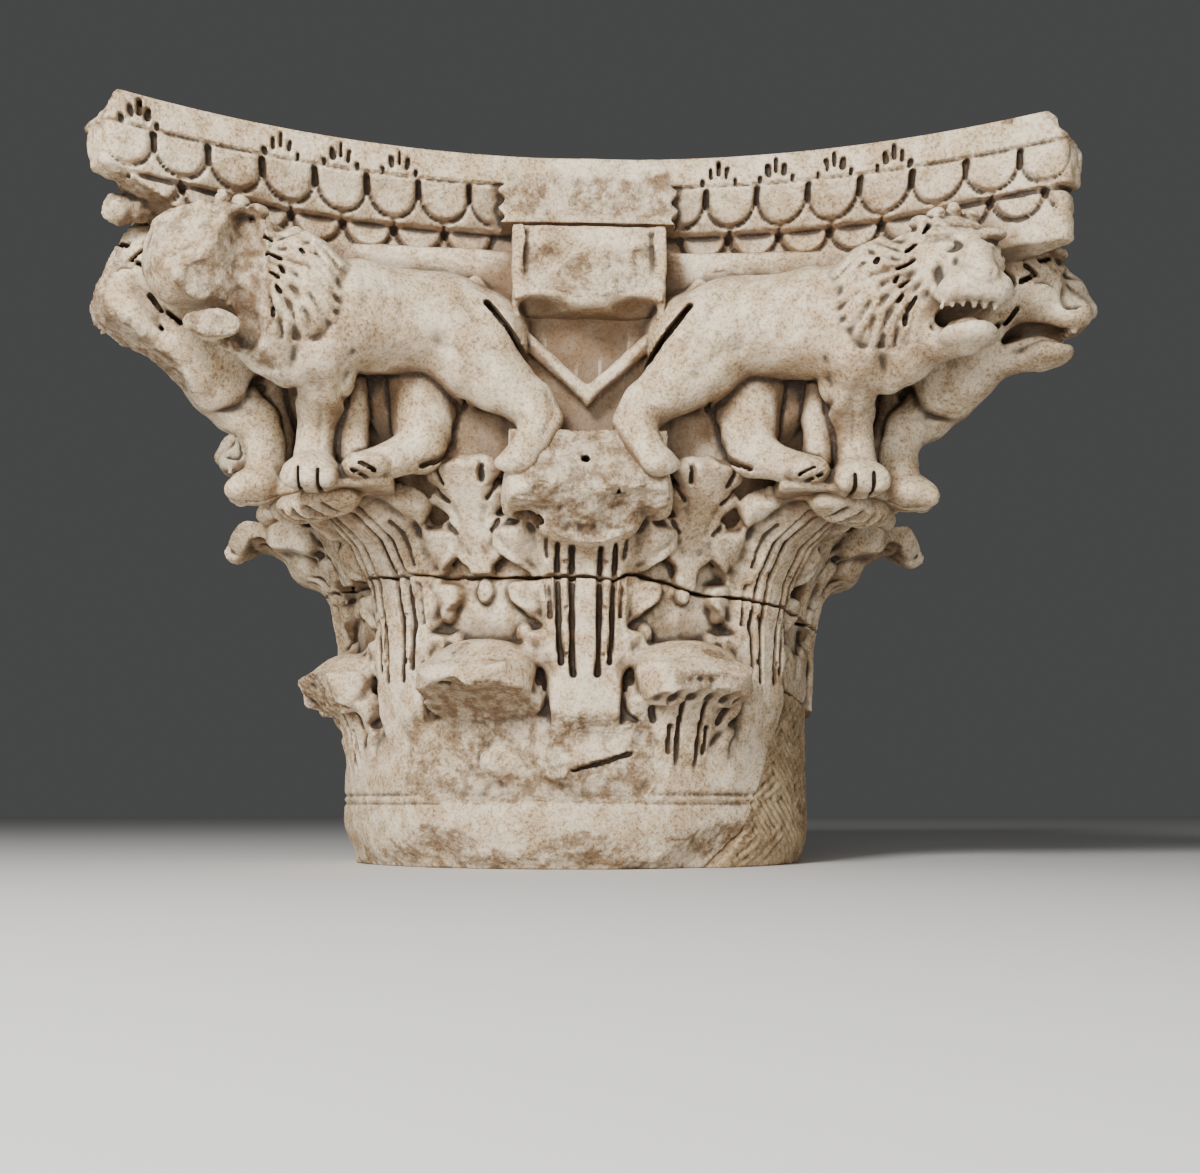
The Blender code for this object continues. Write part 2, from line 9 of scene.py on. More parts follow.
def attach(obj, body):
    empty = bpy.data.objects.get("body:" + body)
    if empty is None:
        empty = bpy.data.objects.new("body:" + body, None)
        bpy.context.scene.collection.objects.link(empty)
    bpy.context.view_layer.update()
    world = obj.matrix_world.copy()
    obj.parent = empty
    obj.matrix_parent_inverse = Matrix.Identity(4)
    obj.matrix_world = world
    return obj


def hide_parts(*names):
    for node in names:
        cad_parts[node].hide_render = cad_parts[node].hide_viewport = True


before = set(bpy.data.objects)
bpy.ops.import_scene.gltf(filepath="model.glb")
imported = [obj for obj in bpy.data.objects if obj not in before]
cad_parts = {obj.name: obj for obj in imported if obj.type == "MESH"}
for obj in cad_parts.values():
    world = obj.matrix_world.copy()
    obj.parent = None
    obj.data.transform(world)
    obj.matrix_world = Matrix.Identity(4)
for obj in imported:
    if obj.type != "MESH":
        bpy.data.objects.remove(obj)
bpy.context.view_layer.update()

# The camera stands close in front, a little to the left, near the height of the foot of the block, and looks up
# at it. The picture is 1200 by 1173, and the focal length is for a sensor 36 mm wide.
camera_distance = 2.0
camera_height = 0.072
camera_side = math.radians(1.72)
camera_pan = math.radians(0.88)
camera_pitch = math.radians(8.3)
camera_data = bpy.data.cameras.new("camera")
camera_data.sensor_width = 36.0
camera_data.lens = 45.0
camera = bpy.data.objects.new("camera", camera_data)
bpy.context.scene.collection.objects.link(camera)
camera.location = (
    -camera_distance * math.sin(camera_side),
    -camera_distance * math.cos(camera_side),
    camera_height,
)
heading = camera_side + camera_pan
camera.rotation_euler = (
    Vector(
        (
            math.sin(heading) * math.cos(camera_pitch),
            math.cos(heading) * math.cos(camera_pitch),
            math.sin(camera_pitch),
        )
    )
    .to_track_quat("-Z", "Y")
    .to_euler()
)
bpy.context.scene.camera = camera

# The leaves: one block of white marble, cut by hand with the chisel and the running drill. A quarter of it is
# shaped here as distances to its surface on a dense grid, along the front, out from the axis and up, and turned
# round the axis. This section has the bell above the break, with its high leaves and calyx leaves.
# All lengths are in metres; EIGHTH is the turn from a high leaf to the leaf between two of them.
CELL = 0.0025
BED = 0.8
FOOT_RADIUS = 0.286
LIP_RADIUS = 0.352
COLLAR = 0.084
BREAK_HEIGHT = 0.326
BREAK_SLOPE = 0.07
JOINT = 0.0012
EIGHTH = math.radians(22.5)
BAND = 0.006
FADE = 0.04
FAR = 0.03
DICE = 32
BLOW_REACH = 0.0035
BED_REACH = 0.0015
LOOK_OUT = 0.025


def softly_least(a, b, ease):
    if ease <= 0:
        return np.minimum(a, b)
    share = np.clip(0.5 + 0.5 * (b - a) / ease, 0, 1)
    return b + (a - b) * share - ease * share * (1 - share)


def softly_most(a, b, ease):
    return -softly_least(-a, -b, ease)


def rising(value, low, high):
    share = np.clip((value - low) / (high - low), 0, 1)
    return share * share * (3 - 2 * share)


def roughness(x, y, z, size, seed):
    """Smooth random lumps of a size, from -1 to 1, the same on every run."""
    dice = np.random.default_rng(seed).uniform(-1, 1, (DICE, DICE, DICE)).astype(np.float32)
    parts = []
    for value in (x, y, z):
        place = np.asarray(value, np.float32) / size + 1000.0
        whole = np.floor(place).astype(np.int32)
        share = place - whole
        parts.append((whole & (DICE - 1), (whole + 1) & (DICE - 1), share * share * (3 - 2 * share)))
    (x0, x1, fx), (y0, y1, fy), (z0, z1, fz) = parts
    near = (dice[x0, y0, z0] * (1 - fx) + dice[x1, y0, z0] * fx) * (1 - fy)
    near = near + (dice[x0, y1, z0] * (1 - fx) + dice[x1, y1, z0] * fx) * fy
    far = (dice[x0, y0, z1] * (1 - fx) + dice[x1, y0, z1] * fx) * (1 - fy)
    far = far + (dice[x0, y1, z1] * (1 - fx) + dice[x1, y1, z1] * fx) * fy
    return near * (1 - fz) + far * fz


def bent(points, closed=False, steps=4):
    """A line that bends evenly through the points."""
    knots = [np.array(p, np.float32) for p in points]
    count = len(knots)
    ends = count if closed else count - 1
    line = []
    for k in range(ends):
        a = knots[(k - 1) % count] if closed or k else knots[0]
        b, c = knots[k], knots[(k + 1) % count]
        d = knots[(k + 2) % count] if closed or k < count - 2 else knots[-1]
        for step in range(steps):
            t = step / steps
            near = 2 * b + (c - a) * t + (2 * a - 5 * b + 4 * c - d) * t**2
            line.append(0.5 * (near + (3 * b - 3 * c + d - a) * t**3))
    return line if closed else line + [knots[-1]]


def from_line(u, v, path):
    """How far each place of a drawing lies from a line."""
    best = None
    for start, end in zip(path, path[1:]):
        du, dv = float(end[0] - start[0]), float(end[1] - start[1])
        pu, pv = u - float(start[0]), v - float(start[1])
        share = np.clip((pu * du + pv * dv) / (du * du + dv * dv + 1e-12), 0, 1)
        away = (pu - share * du) ** 2 + (pv - share * dv) ** 2
        best = away if best is None else np.minimum(best, away)
    return np.sqrt(best)


def from_outline(u, v, path):
    """The same for a closed outline, negative inside it."""
    closed = list(path) + [path[0]]
    inside = np.zeros(np.broadcast(u, v).shape, bool)
    for (u0, v0), (u1, v1) in zip(closed, closed[1:]):
        if v0 != v1:
            inside ^= ((v0 > v) != (v1 > v)) & (u < u0 + (v - v0) * (u1 - u0) / (v1 - v0))
    away = from_line(u, v, closed)
    return np.where(inside, -away, away).astype(np.float32)


class Stone:
    """A box of marble as distances to its surface, negative inside, at the middles of small cells."""

    def __init__(self, low, high, field=None):
        self.low, self.high = low, high
        counts = [int(round((hi - lo) / CELL)) for lo, hi in zip(low, high)]
        self.axes = [(lo + CELL * (np.arange(n) + 0.5)).astype(np.float32) for lo, n in zip(low, counts)]
        self.field = np.full(counts, FAR, np.float32) if field is None else field
        self.blows, self.closed = [], None

    def room(self, low, high):
        """The cells between two corners, and their places."""
        spans = []
        for axis, lo, hi in zip(self.axes, low, high):
            first, last = np.searchsorted(axis, (lo, hi))
            spans.append(slice(int(first), int(last)))
        x, y, z = (axis[span] for axis, span in zip(self.axes, spans))
        return tuple(spans), x[:, None, None], y[None, :, None], z[None, None, :]

    def add(self, shape, low, high, ease=0.0):
        spans, x, y, z = self.room(low, high)
        self.field[spans] = softly_least(self.field[spans], shape(x, y, z), ease)

    def cut(self, shape, low, high, ease=0.0):
        spans, x, y, z = self.room(low, high)
        self.field[spans] = softly_most(self.field[spans], -shape(x, y, z), ease)

    def limb(self, points, radii, ease=0.006, cutting=False):
        """Round rods from point to point, whose radii change on the way."""
        for start, end, r0, r1 in zip(points, points[1:], radii, radii[1:]):
            a, b = np.array(start, np.float32), np.array(end, np.float32)
            span = b - a
            margin = max(r0, r1) + ease + 0.012

            def rod(x, y, z):
                px, py, pz = x - a[0], y - a[1], z - a[2]
                share = np.clip((px * span[0] + py * span[1] + pz * span[2]) / (span @ span), 0, 1)
                away = (px - share * span[0]) ** 2 + (py - share * span[1]) ** 2 + (pz - share * span[2]) ** 2
                return np.sqrt(away) - (r0 + (r1 - r0) * share)

            work = self.cut if cutting else self.add
            work(rod, np.minimum(a, b) - margin, np.maximum(a, b) + margin, ease)

    def lump(self, centre, radii, turn=0.0, lean=0.0, ease=0.006, cutting=False, rough=0.0, seed=1):
        """An egg of stone, turned about the upright and then leaning about its own width."""
        c, r = np.array(centre, np.float32), np.array(radii, np.float32)
        axes = np.array(Matrix.Rotation(math.radians(turn), 3, "Z") @ Matrix.Rotation(math.radians(lean), 3, "X"))

        def egg(x, y, z):
            px, py, pz = x - c[0], y - c[1], z - c[2]
            local = [(px * axes[0, k] + py * axes[1, k] + pz * axes[2, k]) / r[k] for k in range(3)]
            near = np.sqrt(sum(v * v for v in local)) + 1e-6
            slope = np.sqrt(sum((v / r[k]) ** 2 for k, v in enumerate(local))) + 1e-6
            away = near * (near - 1) / slope
            if rough:
                away = away + rough * (roughness(x, y, z, 0.016, seed) + 0.5 * roughness(x, y, z, 0.007, seed + 1))
            return away

        margin = np.full(3, max(radii) + ease + 0.012 + rough)
        work = self.cut if cutting else self.add
        work(egg, c - margin, c + margin, ease)
        if cutting and rough:
            self.blows.append((egg, c - margin, c + margin))

    def knock(self, place, facing, low, high, rough=0.004, seed=1, size=0.03):
        """A blow that takes off all beyond a rough plane, within a room."""
        way = np.array(facing, np.float32) / np.linalg.norm(facing)

        def beyond(x, y, z):
            away = (x - place[0]) * way[0] + (y - place[1]) * way[1] + (z - place[2]) * way[2]
            for value, lo, hi in zip((x, y, z), low, high):
                away = away - 0.05 * (1 - np.clip(np.minimum(value - lo, hi - value) / FADE, 0, 1)) ** 2
            small = np.abs(roughness(x, y, z, size * 0.45, seed + 1))
            away = away + rough * (roughness(x, y, z, size, seed) + 0.3 * small)
            return -(away + 0.15 * rough * roughness(x, y, z, size * 0.2, seed + 2))

        self.cut(beyond, low, high)
        self.blows.append((beyond, low, high))

    def front(self, cutting, low, high):
        """Takes a depth off the surface, drawn as seen from the front, between two corners."""
        spans, x, y, z = self.room(low, high)
        self.field[spans] += cutting(x[:, 0, 0][:, None], z[0, 0][None, :])[:, None, :]

    def drill(self, paths, width, depth, out=(0.25, 0.6)):
        """Channels of the running drill along places (x, z), square to the front."""
        for path in paths:
            spots = np.array(path, np.float32)
            low, high = spots.min(axis=0) - width, spots.max(axis=0) + width
            spans, x, y, z = self.room((low[0], out[0], low[1]), (high[0], out[1], high[1]))
            away = from_line(x, z, spots)
            field = self.field[spans]
            self.field[spans] = np.maximum(field, np.minimum(width / 2 - away, field + depth))

    def mirrored(self, lift=0.0):
        """Both halves of a quarter: what stands on the front stands on the side too, its far end a little higher."""
        side = self.field.transpose(1, 0, 2).copy()
        if lift:
            for row, reach in enumerate(self.axes[0]):
                raised = lift * float(rising(reach, 0.42, 0.5)) / CELL
                whole, share = int(raised), raised - int(raised)
                if raised > 0:
                    place = np.maximum(np.arange(side.shape[2]) - whole, 1)
                    side[row] = side[row][:, place] * (1 - share) + side[row][:, place - 1] * share
        self.field = np.minimum(self.field, side)
        return self

    def all_round(self):
        """The four quarters of the capital, with y towards the back."""
        half = np.concatenate([self.field[::-1], self.field], axis=0)
        whole = np.concatenate([half[:, ::-1], half], axis=1)
        size = self.high[0]
        return Stone((-size, -size, self.low[2]), (size, size, self.high[2]), np.ascontiguousarray(whole))

    def hollows(self):
        """How closed in each place is, from the share of stone in a small box round it."""
        return box_mean((self.field < 0).astype(np.float32), 3) if self.closed is None else self.closed


def box_mean(values, spread):
    """The mean of a grid over a small box round each cell."""
    for axis, count in enumerate(values.shape):
        total = np.cumsum(values, axis=axis)
        ahead = np.take(total, np.minimum(np.arange(count) + spread, count - 1), axis=axis)
        behind = np.take(total, np.maximum(np.arange(count) - spread - 1, 0), axis=axis)
        values = (ahead - behind) / (2 * spread + 1)
    return values


def read_off(values, low, cell, points):
    """The values of a grid at points, between its cells."""
    place = (points - np.array(low, np.float32)) / cell - 0.5
    place = np.clip(place, 0, np.array(values.shape) - 1.001)
    whole = place.astype(np.int32)
    share = place - whole
    total = np.zeros(len(points), np.float32)
    for dx in (0, 1):
        for dy in (0, 1):
            for dz in (0, 1):
                weight = 1.0
                for axis, step in enumerate((dx, dy, dz)):
                    weight = weight * (share[:, axis] if step else 1 - share[:, axis])
                total += weight * values[whole[:, 0] + dx, whole[:, 1] + dy, whole[:, 2] + dz]
    return total


WIDE_CELL = 0.01
wide_counts = (120, 120, 84)
wide_low = (-0.6, -0.6, -0.02)
all_stone = np.zeros(wide_counts, np.float32)
carved_pieces = []


def points_of(mesh):
    """The places of a mesh's points and the ways they face."""
    found = []
    for kind in ("co", "normal"):
        values = np.zeros(len(mesh.vertices) * 3, np.float32)
        mesh.vertices.foreach_get(kind, values)
        found.append(values.reshape(-1, 3))
    return found


def dressed(stone, name, triangles, node, worn=0.0011):
    """The finished stone as a mesh: thinned, worn a little, with how hollow and how broken each point lies."""
    grid = openvdb.FloatGrid(BAND)
    grid.copyFromArray(np.clip(stone.field, -BAND, BAND))
    points, _, quads = grid.convertToPolygons(isovalue=0.0, adaptivity=0.0)
    points = ((points + 0.5) * CELL + np.array(stone.low)).astype(np.float32)
    mesh = bpy.data.meshes.new(name)
    mesh.vertices.add(len(points))
    mesh.vertices.foreach_set("co", points.ravel())
    mesh.loops.add(quads.size)
    mesh.loops.foreach_set("vertex_index", quads.astype(np.int32).ravel())
    mesh.polygons.add(len(quads))
    mesh.polygons.foreach_set("loop_start", np.arange(0, quads.size, 4, dtype=np.int32))
    mesh.update(calc_edges=True)
    mesh.validate()
    raw = bpy.data.objects.new(name, mesh)
    bpy.context.scene.collection.objects.link(raw)
    thinned = raw.modifiers.new("thinned", "DECIMATE")
    thinned.ratio = min(1.0, triangles / (2 * len(quads)))
    graph = bpy.context.evaluated_depsgraph_get()
    fine = bpy.data.meshes.new_from_object(raw.evaluated_get(graph))
    bpy.data.objects.remove(raw)
    bpy.data.meshes.remove(mesh)
    piece = bpy.data.objects.new(name, fine)
    bpy.context.scene.collection.objects.link(piece)
    fine.polygons.foreach_set("use_smooth", np.ones(len(fine.polygons), bool))
    places, normals = points_of(fine)
    x, y, z = places.T
    hollow = fine.attributes.new("hollow", "FLOAT", "POINT")
    hollow.data.foreach_set("value", read_off(stone.hollows(), stone.low, CELL, places))
    broken = np.zeros(len(places), np.float32)
    for shape, low, high in stone.blows:
        near = np.all((places > np.array(low)) & (places < np.array(high)), axis=1)
        hit = np.abs(shape(x[near], y[near], z[near])) < BLOW_REACH
        broken[near] = np.maximum(broken[near], hit)
    fine.attributes.new("broken", "FLOAT", "POINT").data.foreach_set("value", broken)
    wear = worn * roughness(x, y, z, 0.022, 31) + 0.5 * worn * roughness(x, y, z, 0.009, 32)
    wear = wear + (0.25 * worn + 0.9 * worn * broken) * roughness(x, y, z, 0.004, 33)
    flat = (z < BED_REACH) | (z > BED - BED_REACH)
    wear = np.where(flat, 0.0, wear - 0.4 * worn)
    fine.vertices.foreach_set("co", np.ascontiguousarray(places + normals * wear[:, None]).ravel())
    inside = np.argwhere(stone.field[::2, ::2, ::2] < 0) * 2 + 0.5
    cells = ((inside * CELL + np.array(stone.low) - np.array(wide_low)) / WIDE_CELL).astype(int)
    share = np.zeros(wide_counts, np.float32)
    np.add.at(share, (cells[:, 0], cells[:, 1], cells[:, 2]), (2 * CELL / WIDE_CELL) ** 3)
    np.maximum(all_stone, share, out=all_stone)
    carved_pieces.append(piece)
    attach(piece, "root")
    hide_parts(node)
    return piece


def halves(stone, name, front, back, node):
    """The same in two pieces, front and back, so that both can be fine. They share a narrow band in the middle."""
    middle = stone.field.shape[1] // 2
    closed = stone.hollows()
    for part, start, end, triangles in (("front", 0, middle + 3, front), ("back", middle - 3, 2 * middle, back)):
        low = (stone.low[0], stone.low[1] + CELL * start, stone.low[2])
        high = (stone.high[0], stone.low[1] + CELL * end, stone.high[2])
        half = Stone(low, high, np.ascontiguousarray(stone.field[:, start:end]))
        half.blows, half.closed = stone.blows, closed[:, start:end]
        dressed(half, name + "_" + part, triangles, node)


def break_height(x, y):
    """The wavy surface along which the block once broke through, with its chipped edge."""
    wave = np.sin(7.7 * x + 0.6) * np.cos(6.2 * y) + 0.5 * np.sin(13.2 * x - 3.8 * y)
    step = 0.009 * rising(x, 0.03, 0.05) * (1 - rising(x, 0.085, 0.13)) * (y < 0)
    fine = 0.0026 * roughness(x, y, 0 * x, 0.03, 5) + 0.0012 * roughness(x, y, 0 * x, 0.01, 6)
    return BREAK_HEIGHT - BREAK_SLOPE * x + 0.004 * wave + step + fine


def bell_radius(z):
    return FOOT_RADIUS + (LIP_RADIUS - FOOT_RADIUS) * np.clip((z - COLLAR) / (0.665 - COLLAR), 0, 1) ** 2.2


def add_bell(stone, low, high):
    def bell(x, y, z):
        return (np.sqrt(x * x + y * y) - bell_radius(z)) * 0.98

    stone.add(bell, (0, 0, low), (0.42, 0.42, high))


LEAF_STEP = 0.001


def drawn_leaf(length, half, outline, strokes, shapes):
    """A leaf drawn flat, as its outline and the depth cut into its face, along it and out from its midrib."""
    along = np.arange(0, length, LEAF_STEP, dtype=np.float32)[:, None]
    across = np.arange(0, half, LEAF_STEP, dtype=np.float32)[None, :]
    edge = from_outline(along, across, bent([(0.0, -0.05)] + outline + [(outline[-1][0], -0.05)], True))
    depth = np.zeros_like(edge)
    for path, width, cut in strokes:
        depth = depth + cut * np.exp(-((from_line(along, across, bent(path)) / width) ** 2))
    for path, width, cut in shapes:
        away = from_line(along, across, path)
        depth = np.maximum(depth, cut * rising(-away, -width / 2 - 0.0006, 0.0006 - width / 2))
    return edge, depth


def carved_leaf(turn, line, drawing, thick, cupped, back=0.013):
    """A leaf that climbs the bell and bends outwards, with its drawing cut into the outer face."""
    line = np.array(line, np.float32)
    spans = np.diff(line, axis=0)
    lengths = np.sqrt((spans**2).sum(axis=1))
    starts = np.concatenate([[0], np.cumsum(lengths)])
    rows, columns = drawing[0].shape

    def leaf(x, y, z):
        radius = np.sqrt(x * x + y * y)
        angle = np.arctan2(x, y) - turn
        best = along = side = None
        for k in range(len(spans)):
            pr, pz = radius - line[k, 0], z - line[k, 1]
            share = np.clip((pr * spans[k, 0] + pz * spans[k, 1]) / lengths[k] ** 2, 0, 1)
            away = (pr - share * spans[k, 0]) ** 2 + (pz - share * spans[k, 1]) ** 2
            outside = (pr * spans[k, 1] - pz * spans[k, 0]) / lengths[k]
            reach = starts[k] + share * lengths[k]
            if best is None:
                best, along, side = away, reach + 0 * pz, outside
            else:
                closer = away < best
                best = np.where(closer, away, best)
                along = np.where(closer, reach, along)
                side = np.where(closer, outside, side)
        level = np.sign(side) * np.sqrt(best)
        across = np.abs(angle * radius)
        row = np.clip(along / LEAF_STEP, 0, rows - 1.01)
        column = np.clip(across / LEAF_STEP, 0, columns - 1.01)
        r0, c0 = row.astype(np.int32), column.astype(np.int32)
        fr, fc = row - r0, column - c0
        looked = []
        for chart in drawing:
            low = chart[r0, c0] * (1 - fr) + chart[r0 + 1, c0] * fr
            high = chart[r0, c0 + 1] * (1 - fr) + chart[r0 + 1, c0 + 1] * fr
            looked.append(low * (1 - fc) + high * fc)
        edge, depth = looked
        level = level + cupped * (across / 0.09) ** 2
        face = softly_most(level - thick + depth, edge * 0.85, 0.007)
        return np.maximum(face, -level - back)

    return leaf


high_leaf_line = [
    (0.296, 0.09), (0.3, 0.2), (0.304, 0.28), (0.317, 0.34), (0.346, 0.386), (0.392, 0.416), (0.436, 0.424),
    (0.456, 0.404),
]
high_leaf_outline = [
    (0.0, 0.037), (0.1, 0.041), (0.135, 0.047), (0.158, 0.066), (0.176, 0.07), (0.184, 0.05), (0.198, 0.064),
    (0.214, 0.086), (0.234, 0.088), (0.24, 0.062), (0.256, 0.082), (0.272, 0.103), (0.298, 0.106), (0.306, 0.076),
    (0.322, 0.09), (0.342, 0.096), (0.36, 0.086), (0.366, 0.062), (0.386, 0.066), (0.408, 0.056), (0.426, 0.036),
    (0.434, 0.016),
]
high_leaf_strokes = [
    ([(0.2, 0.054), (0.27, 0.06), (0.33, 0.058), (0.38, 0.048)], 0.015, 0.013),
    ([(0.08, 0.0), (0.25, 0.0), (0.42, 0.0)], 0.01, -0.0025),
    ([(0.1, 0.0235), (0.25, 0.0245), (0.4, 0.022)], 0.006, -0.0025),
    ([(0.13, 0.04), (0.155, 0.05), (0.168, 0.064)], 0.005, 0.003),
    ([(0.175, 0.044), (0.205, 0.06), (0.225, 0.082)], 0.006, 0.004),
    ([(0.235, 0.05), (0.262, 0.075), (0.287, 0.101)], 0.006, 0.004),
    ([(0.3, 0.06), (0.325, 0.078), (0.345, 0.092)], 0.006, 0.004),
    ([(0.145, 0.05), (0.2, 0.0445), (0.26, 0.043), (0.34, 0.041)], 0.0035, -0.003),
]
high_leaf_cuts = [
    ([(0.128, 0.0135), (0.19, 0.016), (0.345, 0.0165), (0.402, 0.0145)], 0.005, 0.014),
    ([(0.142, 0.0275), (0.19, 0.031), (0.3, 0.0325), (0.385, 0.0285)], 0.005, 0.013),
    ([(0.196, 0.0405), (0.222, 0.0415), (0.24, 0.043)], 0.006, 0.011),
    ([(0.266, 0.044), (0.292, 0.046), (0.328, 0.045)], 0.006, 0.011),
    ([(0.33, 0.056), (0.372, 0.052)], 0.006, 0.011),
    ([(0.15, 0.0205), (0.151, 0.021)], 0.0042, 0.006),
    ([(0.204, 0.0215), (0.205, 0.022)], 0.0042, 0.006),
    ([(0.262, 0.0225), (0.263, 0.023)], 0.0042, 0.006),
    ([(0.186, 0.052), (0.187, 0.058)], 0.006, 0.01),
    ([(0.243, 0.064), (0.245, 0.072)], 0.006, 0.01),
    ([(0.309, 0.078), (0.311, 0.084)], 0.006, 0.01),
]
high_leaf = drawn_leaf(0.436, 0.14, high_leaf_outline, high_leaf_strokes, high_leaf_cuts)

calyx_line = [(0.294, 0.28), (0.3, 0.32), (0.315, 0.36), (0.34, 0.41), (0.368, 0.444), (0.38, 0.46)]
calyx_outline = [
    (0.0, 0.012), (0.06, 0.013), (0.074, 0.024), (0.092, 0.036), (0.1, 0.037), (0.104, 0.026), (0.112, 0.036),
    (0.122, 0.041), (0.128, 0.03), (0.138, 0.038), (0.15, 0.048), (0.16, 0.046), (0.166, 0.034), (0.178, 0.044),
    (0.19, 0.042), (0.197, 0.026), (0.199, 0.008),
]
calyx_strokes = [
    ([(0.05, 0.0), (0.12, 0.0), (0.18, 0.0)], 0.008, -0.003),
    ([(0.08, 0.004), (0.13, 0.016), (0.165, 0.03)], 0.006, 0.002),
    ([(0.085, 0.01), (0.105, 0.024)], 0.005, 0.002),
]
calyx_cuts = [
    ([(0.202, 0.03), (0.184, 0.026), (0.174, 0.024)], 0.005, 0.009),
    ([(0.15, 0.024), (0.163, 0.036)], 0.0045, 0.008),
    ([(0.11, 0.022), (0.122, 0.032)], 0.004, 0.006),
]
calyx_leaf = drawn_leaf(0.212, 0.07, calyx_outline, calyx_strokes, calyx_cuts)

leaves = Stone((0, 0, 0.28), (0.6, 0.6, 0.58))
add_bell(leaves, 0.28, 0.58)


def calyx_channel(x, y, z):
    """The deep wavy channel that the drill left along the edges of a calyx leaf."""
    across = np.abs(np.arctan2(x, y) - EIGHTH) * 0.31
    path = [(0.044, 0.44), (0.05, 0.42), (0.043, 0.402), (0.044, 0.385), (0.038, 0.368), (0.024, 0.35), (0.018, 0.335)]
    return np.maximum(from_line(across, z, bent(path)) - 0.005, (bell_radius(z) - 0.01) - np.sqrt(x * x + y * y))


leaves.cut(calyx_channel, (0, 0, 0.32), (0.45, 0.45, 0.48), 0.003)
leaves.add(carved_leaf(EIGHTH, calyx_line, calyx_leaf, 0.01, 0.012), (0, 0.1, 0.28), (0.32, 0.46, 0.5), 0.002)
for turn in (0.0, math.radians(45)):
    leaves.add(carved_leaf(turn, high_leaf_line, high_leaf, 0.013, 0.008), (0, 0, 0.28), (0.46, 0.5, 0.47), 0.003)
# the curled tips under the paws, and the thick broken tip in the middle that carries the hind feet
leaves.lump((0.3, 0.318, 0.412), (0.062, 0.03, 0.02), turn=-45, ease=0.01)
leaves.mirrored()
for across in (-0.04, -0.02, 0.0, 0.02, 0.04):
    place = (0.318 + across * 0.7, 0.318 - across * 0.7, 0.396)
    leaves.lump(place, (0.008, 0.022, 0.01), turn=-45, ease=0.004, cutting=True)
leaves.add(
    lambda x, y, z: softly_most(np.maximum(np.abs(x) - 0.088, np.abs(z - 0.44) - 0.042), y - 0.402, 0.016),
    (0, 0.28, 0.37), (0.12, 0.43, 0.5), 0.016,
)
leaves.lump((0.0, 0.352, 0.388), (0.062, 0.034, 0.03), ease=0.016)
leaves.mirrored()
leaves = leaves.all_round()


def above_break(stone):
    spans, x, y, z = stone.room((-1, -1, 0), (1, 1, 0.4))
    stone.field[spans] = np.maximum(stone.field[spans], break_height(x, y) + JOINT - z)


above_break(leaves)
# old blows: the middle tip broken back to a rough block, with a round hole, and chips out of the other tips
leaves.knock((0.0, -0.398, 0.445), (0.1, -1.0, 0.22), (-0.14, -0.47, 0.385), (0.14, -0.33, 0.51), 0.005, 41, 0.04)
leaves.knock((0.0, -0.384, 0.394), (0.1, -1.0, -0.9), (-0.14, -0.46, 0.34), (0.14, -0.33, 0.445), 0.006, 44, 0.04)
leaves.limb([(-0.003, -0.33, 0.447), (-0.003, -0.43, 0.447)], [0.0045, 0.0045], 0.0, cutting=True)
leaves.limb([(0.034, -0.36, 0.412), (0.034, -0.43, 0.412)], [0.002, 0.002], 0.0, cutting=True)
for place, radii, turn, rough, seed in (
    ((0.365, -0.345, 0.395), (0.034, 0.022, 0.026), 35, 0.006, 51),
    ((-0.395, -0.315, 0.42), (0.026, 0.03, 0.022), -40, 0.006, 53),
    ((-0.055, -0.352, 0.392), (0.022, 0.014, 0.015), 0, 0.005, 55),
    ((0.398, 0.31, 0.405), (0.03, 0.022, 0.024), 20, 0.006, 57),
    ((-0.33, 0.385, 0.405), (0.03, 0.02, 0.022), 10, 0.006, 59),
):
    leaves.lump(place, radii, turn=turn, cutting=True, rough=rough, seed=seed)
halves(leaves, "leaves", 190000, 110000, "upper_stone")

# The lions: two to each side, standing back to back with their heads at the corners, cut nearly free of the wall
# behind them. They are of the same marble, with drilled slots in the manes and between the toes.
CORE_REACH = 0.415
CORE_MIDDLE = 0.362

lions = Stone((0, 0, 0.37), (0.6, 0.6, 0.72))


def core(x, y, z):
    """The wall behind the lions, an eight-sided block that draws in at its foot."""
    draw = 1 - 0.1 * np.clip((0.66 - z) / 0.22, 0, 1)
    px, py = x / draw, y / draw
    side = CORE_MIDDLE + 0.045 * (px / CORE_REACH) ** 2
    other = CORE_MIDDLE + 0.045 * (py / CORE_REACH) ** 2
    plan = np.maximum(np.maximum(py - side, px - other), (px + py - 0.665) * 0.7071)
    foot = 0.385 + np.maximum(np.sqrt(x * x + y * y) - 0.301, 0) - z
    return softly_most(plan, np.maximum(foot, z - 0.7), 0.012)


def ground(x, y, z):
    """The ledge that the lions stand on."""
    plan = np.maximum(np.maximum(y - 0.38, x - 0.38), (x + y - 0.665) * 0.7071)
    plan = softly_most(plan, 0.215 - np.minimum(x, y), 0.012)
    return softly_most(plan, np.abs(z - 0.428) - 0.009, 0.006)


lions.add(core, (0, 0, 0.38), (0.5, 0.5, 0.72))
lions.add(ground, (0, 0, 0.4), (0.5, 0.5, 0.46), 0.006)
# the dark recess between the legs goes in before them
lions.lump((0.236, 0.372, 0.515), (0.018, 0.064, 0.05), cutting=True, ease=0.006)
